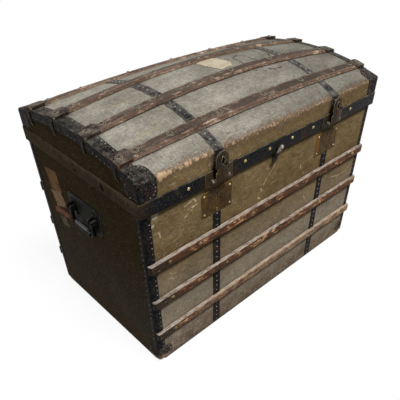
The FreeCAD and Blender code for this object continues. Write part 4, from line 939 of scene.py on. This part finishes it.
def dome_straps():
    turned_down = 46 * MM

    def laid(x):
        strap = add_sheet("strap", (x, LID_MIDDLE, ABOVE), (STRAP_WIDE, LID_DEPTH + 1.2 * MM), (8, 56))
        lay(strap, THIN)
        with editing(strap):
            pick_rim(lambda spot: abs(spot.y - LID_MIDDLE) > LID_DEPTH / 2)
            pull(z=-turned_down)
        return strap

    strap_pair("dome_straps_beaded", laid, (0, 0, 0.5 * MM), "strap_iron", "lid", "dome_straps")


def end_bindings():
    """Toothed binding of each end: laid on the dome and turned down over the arch."""
    top, rim, corner = 30 * MM, 23 * MM, 46 * MM
    low, high = LID_FRONT + corner, LID_BACK - corner
    rows = int((high - low) / TOOTH_ROW)
    pitch = (high - low) / rows
    edge = -(LID_HALF + THIN)
    strip = add_sheet("end_binding", (edge + top / 2, (low + high) / 2, ABOVE), (top, high - low), (6, rows))
    lay(strip, THIN)
    with editing(strip):
        notch(1, pitch, lambda spot: spot.x > edge + top - 1 * MM, (-TOOTH, 0, 0))
        pick_rim(lambda spot: spot.x < edge + NEAR)
        pull(z=-rim * 0.5)
        pull(z=-rim * 0.5)
        notch(1, pitch, lambda spot: spot.x < edge + NEAR
              and spot.z < dome_height(spot.x, spot.y) - rim + 2 * MM, (0, 0, TOOTH))
    thicken(strip)
    strips = [strip, twin(strip, "end_binding_twin", 0)]
    bindings = joined(strips, "end_bindings_toothed", METAL["black_iron"])
    fit(bindings, "lid", "black_iron", "end_bindings", smooth=60)


def lid_corner_caps():
    """Corner cap of the lid with rounded lobes on the dome, the front and the end."""
    wide = 49 * MM
    x0, y0 = -(LID_HALF + 2 * THIN), LID_FRONT - 2 * THIN
    round_top, round_side = 27 * MM, 24 * MM
    low = BAND_TOP + 1 * MM
    cap = add_sheet("lid_cap", (x0 + wide / 2, y0 + wide / 2, ABOVE), (wide, wide), (12, 12))
    lay(cap, 2 * THIN)
    with editing(cap):
        trim_round((x0 + wide - round_top, y0 + wide - round_top, 0), round_top, (0, 1), LOBE)
        pick_rim(lambda spot: spot.x < x0 + NEAR or spot.y < y0 + NEAR)
        for _ in range(4):
            pull(z=(low - CREASE) / 4)
        for x, y, axes in ((x0 + wide - round_side, 0, (0, 2)), (0, y0 + wide - round_side, (1, 2))):
            trim_round((x, y, low + round_side * 0.7), round_side, axes, (-15, -32, -48))
    soften(cap, 4 * MM, 3, 50)
    thicken(cap)
    caps = four_corners(cap, "lid_corner_caps_rounded", METAL["cap_iron"], LID_MIDDLE)
    fit(caps, "lid", "black_iron", "lid_corner_caps", smooth=60)


# --- Base ---


def base_slat(node, seed):
    """Straight slat with rounded front edges and ends, and small dents."""
    low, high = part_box(node)
    middle_place, size = (low + high) / 2, high - low
    end_round, edge_round, cell, dent = 6 * MM, 2.6 * MM, 10 * MM, 0.3 * MM
    off_middle, reach = 12 * MM, end_round + 1 * MM
    face = low.y if low.y < 0 else high.y
    bpy.ops.mesh.primitive_cube_add(size=1, location=middle_place)
    slat = added(f"{node}_worn", size)

    def along_edge(spot):
        return abs(spot.z - middle_place.z) > off_middle

    with editing(slat):
        pick("EDGE", lambda spot, _: abs(abs(spot.x) - size.x / 2) < THIN and abs(spot.y - face) < THIN)
        bpy.ops.mesh.bevel(offset=end_round, segments=4, affect="EDGES")
        pick("EDGE", lambda spot, edge: along_edge(spot) and (
            abs(spot.y - face) < THIN
            or abs(spot.x) > size.x / 2 - reach and abs(spot.y - face) < reach and len(edge.link_faces) == 2))
        bpy.ops.mesh.bevel(offset=edge_round, segments=3, affect="EDGES")
        for place in range(-44, 45):
            pick_all()
            bpy.ops.mesh.bisect(plane_co=(place * cell, 0, 0), plane_no=(1, 0, 0))
        pick("VERT", lambda spot, _: abs(spot.y - face) < 5 * MM and abs(spot.x) < size.x / 2 - 8 * MM)
        bpy.ops.transform.vertex_random(offset=dent, seed=seed)
    paint(slat, SLOT_LOOK["slat_wood"])
    fit(slat, "base", "slat_wood", node, smooth=50)


def corner_iron(name, wide_front, wide_end, low, high, tooth, lobe):
    """Angle iron round the front left corner, with toothed or rounded free edges."""
    bend = 8 * MM
    side = -(HALF + THIN)
    rows = max(int((high - low) / TOOTH_ROW), 4)
    pitch = (high - low) / rows
    flat = wide_front - bend
    iron = add_sheet(name, (-HALF + bend + flat / 2, FRONT - THIN, (low + high) / 2), (flat, high - low),
                     (3, rows), (90, 0, 0))
    with editing(iron):
        pick_rim(lambda spot: spot.x < -HALF + bend + NEAR)
        bpy.ops.mesh.spin(steps=4, angle=math.radians(90), center=(-HALF + bend, FRONT + bend, 0),
                          axis=(0, 0, 1))
        pick_rim(lambda spot: abs(spot.x - side) < 0.2 * MM)
        for _ in range(2):
            pull((wide_end - bend) * 0.5)
        pick_all()
        bpy.ops.mesh.remove_doubles(threshold=WELD)
        if tooth:
            notch(2, pitch, lambda spot: spot.x > -HALF + wide_front - 1 * MM, (-tooth, 0, 0))
            notch(2, pitch, lambda spot: spot.y > FRONT + wide_end - 1 * MM, (0, -tooth, 0))
        if lobe:
            trim_round((-HALF + wide_front - lobe, 0, high - lobe), lobe, (0, 2), LOBE)
            trim_round((0, FRONT + wide_end - lobe, high - lobe), lobe, (1, 2), LOBE)
    thicken(iron)
    return iron


def base_irons():
    """Corner bindings and the worn foot caps under them."""
    bindings = {"front_left": corner_iron("corner_binding_front_left_toothed", 22 * MM, 20 * MM, 58 * MM,
                                          510 * MM, TOOTH, 0)}
    for place, source, axis in (("back_left", "front_left", 1), ("front_right", "front_left", 0),
                                ("back_right", "back_left", 0)):
        bindings[place] = twin(bindings[source], f"corner_binding_{place}_toothed", axis)
    for place, piece in bindings.items():
        paint(piece, METAL["black_iron"])
        fit(piece, "base", "black_iron", f"corner_binding_{place}", smooth=60)
    foot = corner_iron("foot_cap", 46 * MM, 46 * MM, 14 * MM, 60 * MM, 0, 24 * MM)
    feet = four_corners(foot, "bottom_corner_caps_rounded", METAL["foot_iron"])
    fit(feet, "base", "black_iron", "bottom_corner_caps", smooth=60)


def base_straps(face_name, face, out, high):
    low = 10 * MM

    def standing(x):
        return add_sheet("strap", (x, face + out * THIN, (low + high) / 2), (STRAP_WIDE, high - low), (8, 40),
                         (90, 0, 0) if out < 0 else (90, 0, 180))

    strap_pair(f"{face_name}_straps_beaded", standing, (0, out * 0.6 * MM, 0), "black_iron", "base",
               f"{face_name}_straps")


# --- Tacks ---


def make_tack():
    """Small domed head, standing on the origin along +Z."""
    bpy.ops.mesh.primitive_cone_add(vertices=7, radius1=2.2 * MM, radius2=1.3 * MM, depth=0.9 * MM,
                                    location=(0, 0, 0.45 * MM))
    tack = added("tack")
    with editing(tack):
        pick("FACE", lambda spot, _: spot.z > 0.8 * MM)
        bpy.ops.mesh.inset(thickness=0.5 * MM, depth=0.35 * MM)
    return tack


def steps(low, high, pitch, middles=(), gap=0.0):
    """Even places from low to high that keep a gap to some middles."""
    count = max(int((high - low) / pitch), 1)
    places = [low + (high - low) * index / count for index in range(count + 1)]
    return [place for place in places if all(abs(place - other) > gap for other in middles)]


def arc(angles, first, second, reach, height):
    """Places on an oval, by angles in degrees."""
    turns = [math.radians(angle) for angle in angles]
    return [(first + reach * math.cos(turn), second + height * math.sin(turn)) for turn in turns]


def on_face(x, z, out, face, lift=1.3 * MM):
    """Place and direction of a tack in the front or the back."""
    return (x, face + out * lift, z), (0, out, 0)


def on_end(side, y, z, edge=HALF, lift=1.3 * MM):
    return (side * (edge + lift), y, z), (side, 0, 0)


def on_dome(x, y):
    return (x, y, dome_height(x, y) + 1.2 * MM), dome_normal(x, y)


def base_tack_places():
    """Places and directions of the tacks in the base's irons."""
    in_front, in_end, pitch, slat_gap = 16.5 * MM, 14.5 * MM, 16.5 * MM, 16 * MM
    low, high, strap_tops = 66 * MM, 504 * MM, {-1: 418 * MM, 1: 505 * MM}
    clear = steps(low, high, pitch, SLAT_Z, slat_gap)
    for side in (-1, 1):
        for out, face in ((-1, FRONT), (1, BACK)):
            for z in steps(low, high, pitch):
                if z in clear:
                    yield on_face(side * (HALF - in_front), z, out, face)
                yield on_end(side, face - out * in_end, z)
            for along, up in arc(range(-20, 111, 26), 22 * MM, 36 * MM, 18 * MM, 18 * MM):
                yield on_face(side * (HALF - along), up, out, face)
                yield on_end(side, face - out * along, up)
            for z in steps(18 * MM, strap_tops[out], 18 * MM, SLAT_Z, slat_gap):
                yield on_face(side * STRAP_X, z, out, face)


def lid_tack_places():
    """Places and directions of the tacks in the lid's irons."""
    rows, on_top, below_arch = DOME_SLATS.values(), 24 * MM, 17 * MM
    ends = (LID_FRONT + 52 * MM, LID_BACK - 52 * MM, 14 * MM, rows)
    clear = steps(*ends, 20 * MM)
    for side in (-1, 1):
        for y in steps(LID_FRONT + 10 * MM, LID_BACK - 10 * MM, 17 * MM, rows, 19 * MM):
            yield on_dome(side * STRAP_X, y)
        for y in steps(*ends, 8 * MM):
            if y in clear:
                yield on_dome(side * (LID_HALF - on_top), y)
            yield on_end(side, y, dome_height(LID_HALF, y) - below_arch, LID_HALF)
        for out, face in ((-1, LID_FRONT), (1, LID_BACK)):
            for z in (CREASE - 12 * MM, CREASE - 29 * MM):
                yield on_face(side * STRAP_X, z, out, face, 1.6 * MM)
            for along, deep in arc(range(-10, 101, 22), 22 * MM, 22 * MM, 21 * MM, 21 * MM):
                yield on_dome(side * (LID_HALF - along), face - out * deep)
            for along, up in arc(range(-80, 41, 30), 25 * MM, BAND_TOP + 23 * MM, 18 * MM, 17 * MM):
                yield on_face(side * (LID_HALF - along), up, out, face, 1.8 * MM)
                yield on_end(side, face - out * along, up, LID_HALF, 1.8 * MM)


def tacks(name, places, body, tack):
    heads = []
    for place, way in places:
        head = twin(tack, "head")
        turned = Vector(way).to_track_quat("Z", "Y").to_matrix().to_4x4()
        head.data.transform(Matrix.Translation(place) @ turned)
        heads.append(head)
    fit(joined(heads, name, METAL["tack_steel"]), body, "aged_iron")


# --- Paper scraps ---


def paper_scrap(name, place, size, turn, seed, paper, body, laid=False):
    """Torn piece of paper glued flat: cells are missing round its edge, and corners where it is laid."""
    scrap = add_sheet(name, place, size, [max(int(length / (3 * MM)), 3) for length in size], turn)
    dice = random.Random(seed)
    with editing(scrap):
        for share in (0.38, 0.22):
            pick("FACE", lambda _, face: any(edge.is_boundary for edge in face.edges) and dice.random() < share)
            bpy.ops.mesh.delete(type="FACE")
        if laid:
            for angle, share in ((38, 0.52), (128, 0.56), (205, 0.42), (318, 0.5)):
                trim_round(place, share * size[1], (0, 1), (angle,))
    if laid:
        lay(scrap, 0.5 * MM)
    thicken(scrap, 0.25 * MM)
    paint(scrap, PAPER[paper])
    fit(scrap, body, None)


def paper_scraps():
    left = -(HALF + THIN)
    for kind, paper, x, y, z, wide, high, lean, seed in (
            ("grey", "grey", left, 150, 289, 40, 36, -12, 14),
            ("cream", "label", left, 151, 368, 66, 52, -20, 5),
            ("tan", "tan", left - THIN, 154, 426, 62, 68, -8, 3),
            ("red", "red", left - THIN, 149, 322, 90, 26, -7, 8)):
        paper_scrap(f"label_scrap_{kind}", (x, y * MM, z * MM), (wide * MM, high * MM), (90, lean, -90), seed,
                    paper, "base")
    paper_scrap("dome_scrap_cream", (14 * MM, 8 * MM, ABOVE), (76 * MM, 88 * MM), (0, 0, 8), 11, "cream", "lid",
                laid=True)


# --- Eased copies of CAD pieces ---


def staple_guard(side_name, side):
    """Raised oval rim round the foot of a hasp's staple, with a dark disc in it for the slot: painted shade of
    the hole.
    """
    low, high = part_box(f"hasp_{side_name}")
    place = {"location": (side * STRAP_X + 1 * MM, low.y + 16.5 * MM, high.z - 25 * MM),
             "rotation": (math.radians(90), 0, 0)}
    oval = (0.72, 1.45, 1)
    bpy.ops.mesh.primitive_torus_add(major_segments=32, minor_segments=8, major_radius=7.5 * MM,
                                     minor_radius=1.4 * MM, **place)
    rim = added(f"staple_guard_{side_name}_rim", oval)
    bpy.ops.mesh.primitive_cylinder_add(vertices=32, radius=6.6 * MM, depth=1 * MM, **place)
    slot = added(f"staple_guard_{side_name}_slot", oval)
    for piece, look in ((rim, "hasp_bronze"), (slot, "painted_shade_black")):
        paint(piece, METAL[look])
        fit(piece, f"hasp_{side_name}", None)


def plate_shadow_lines():
    """Dark line of painted shadow that shows round each handle plate."""
    shadow_line = loose_twin("handle_plates", "handle_plate_shadow_line")
    low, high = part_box("handle_plates")
    size, spread = high - low, 2 * 2.2 * MM
    with editing(shadow_line):
        pick_all()
        bpy.ops.transform.resize(value=(1 - 1.2 * MM / high.x, 1 + spread / size.y, 1 + spread / size.z),
                                 center_override=(0, *((low + high) / 2).yz))
    paint(shadow_line, METAL["painted_shade_black"])
    fit(shadow_line, "base", None)


def end_slots():
    """Dark slits of painted shade in the bands of the two ends."""
    slots = []
    for side in (-1, 1):
        for y in (2 * MM, -116 * MM):
            place = (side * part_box("lid_band_ends")[1].x, y, SEAM + 18 * MM)
            bpy.ops.mesh.primitive_cylinder_add(vertices=14, radius=6.2 * MM, depth=1.6 * MM, location=place,
                                                rotation=(0, math.radians(90), 0))
            slots.append(added("end_slot"))
            with editing(slots[-1]):
                pick_all()
                bpy.ops.transform.resize(value=(1, 0.7, 1.6), center_override=place)
                bpy.ops.transform.rotate(value=math.radians(24), orient_axis="X", center_override=place)
    fit(joined(slots, "end_band_slot_shadows", METAL["painted_shade_black"]), "lid", None)


def eased(node, width):
    """Copy of a CAD node with rounded edges that stands for it."""
    piece = loose_twin(node, f"{node}_eased", flatten=True)
    soften(piece, width, 2, 35, use_clamp_overlap=True)
    fit(piece, BODY_OF_NODE[node], SLOT_OF_NODE[node], node)


# Nodes with rounded edges, and the width of the rounding in mm.
EASED = {
    "lock_plate_left": 0.4, "lock_plate_right": 0.4, "hasp_left": 0.5, "hasp_right": 0.5,
    "hasp_leaves": 0.4, "hasp_pins": 0.8, "handle_plates": 0.4, "handle_ears_left": 1.0,
    "handle_ears_right": 1.0, "catch_plate": 0.4, "catch_hook": 0.5, "catch_stud": 0.4,
    "hinge_leaves_base": 0.4, "hinge_leaves_lid": 0.4, "lid_band_front": 0.7, "lid_band_back": 0.7,
    "lid_band_ends": 0.7,
}

lid_skin()
for slat_place, slat_y in DOME_SLATS.items():
    dome_slat(slat_place, slat_y)
slat_clamps()
dome_straps()
end_bindings()
lid_corner_caps()
for number, row in enumerate(ROWS):
    base_slat(f"front_slat_{row}", number)
    base_slat(f"back_slat_{row}", number + 3)
base_irons()
base_straps("front", FRONT, -1, 423 * MM)
base_straps("back", BACK, 1, 510 * MM)
paper_scraps()
one_tack = make_tack()
tacks("base_tacks", base_tack_places(), "base", one_tack)
tacks("lid_tacks", lid_tack_places(), "lid", one_tack)
bpy.data.objects.remove(one_tack)
plate_shadow_lines()
for node_name, round_width in EASED.items():
    eased(node_name, round_width * MM)
staple_guard("left", -1)
staple_guard("right", 1)
end_slots()
bpy.data.objects.remove(FORMER)

# --- Stage ---


def shown_rays(tree):
    """1 for rays that show the white surroundings to the eye, in metal or through glass."""
    path = tree.node("LightPath").outputs
    return tree.most(path["Is Camera Ray"], tree.most(path["Is Glossy Ray"], path["Is Transmission Ray"]))


def floor():
    """Pale floor that keeps a faint shadow."""
    bpy.ops.mesh.primitive_plane_add(size=40, location=(0, 0, -0.0005))
    piece = bpy.context.active_object
    piece.name = "floor"
    material, tree, shader = new_material("pale_floor")
    shown = shown_rays(tree)
    tree.put(shader, "Base Color", tree.grey(tree.step(shown, 0, 1, 0.12, 0.92)))
    tree.put(shader, "Roughness", 0.95)
    glow = tree.node("Emission", {"Color": (255, 255, 255), "Strength": 1.0}).outputs[0]
    mixed = tree.node("MixShader", {0: tree.times(shown, 0.93), 1: shader.outputs[0], 2: glow}).outputs[0]
    tree.join(mixed, material.node_tree.nodes["Material Output"].inputs[0])
    paint(piece, material)


def lights():
    """White surroundings with a weak fill, and one wide key light."""
    world = bpy.context.scene.world or bpy.data.worlds.new("studio")
    bpy.context.scene.world = world
    world.use_nodes = True
    world.node_tree.nodes.clear()
    tree = Tree(world.node_tree)
    strength = tree.step(shown_rays(tree), 0, 1, 0.05, 1)
    white = tree.node("Background", {"Color": (255, 255, 255), "Strength": strength}).outputs[0]
    tree.join(white, tree.node("OutputWorld").inputs[0])
    data = bpy.data.lights.new("key", "SUN")
    data.energy, data.angle = 3.4, math.radians(14)
    key = bpy.data.objects.new("key", data)
    key.rotation_euler = Vector((0.05, -0.44, 1)).to_track_quat("Z", "Y").to_euler()
    bpy.context.collection.objects.link(key)


CAMERA_PLACE = (-0.87721, -0.91881, 1.08634)
CAMERA_TURN = (48.136, -1.410, -45.332)
CAMERA_LENS = 40.67
CAMERA_SHIFT = (-0.0773, 0.1560)


def camera():
    data = bpy.data.cameras.new("camera")
    data.sensor_width, data.lens = 36, CAMERA_LENS
    data.shift_x, data.shift_y = CAMERA_SHIFT
    item = bpy.data.objects.new("camera", data)
    item.location = CAMERA_PLACE
    item.rotation_euler = Euler([math.radians(angle) for angle in CAMERA_TURN], "XYZ")
    bpy.context.collection.objects.link(item)
    bpy.context.scene.camera = item


floor()
lights()
camera()
bpy.context.scene.view_settings.view_transform = "Standard"
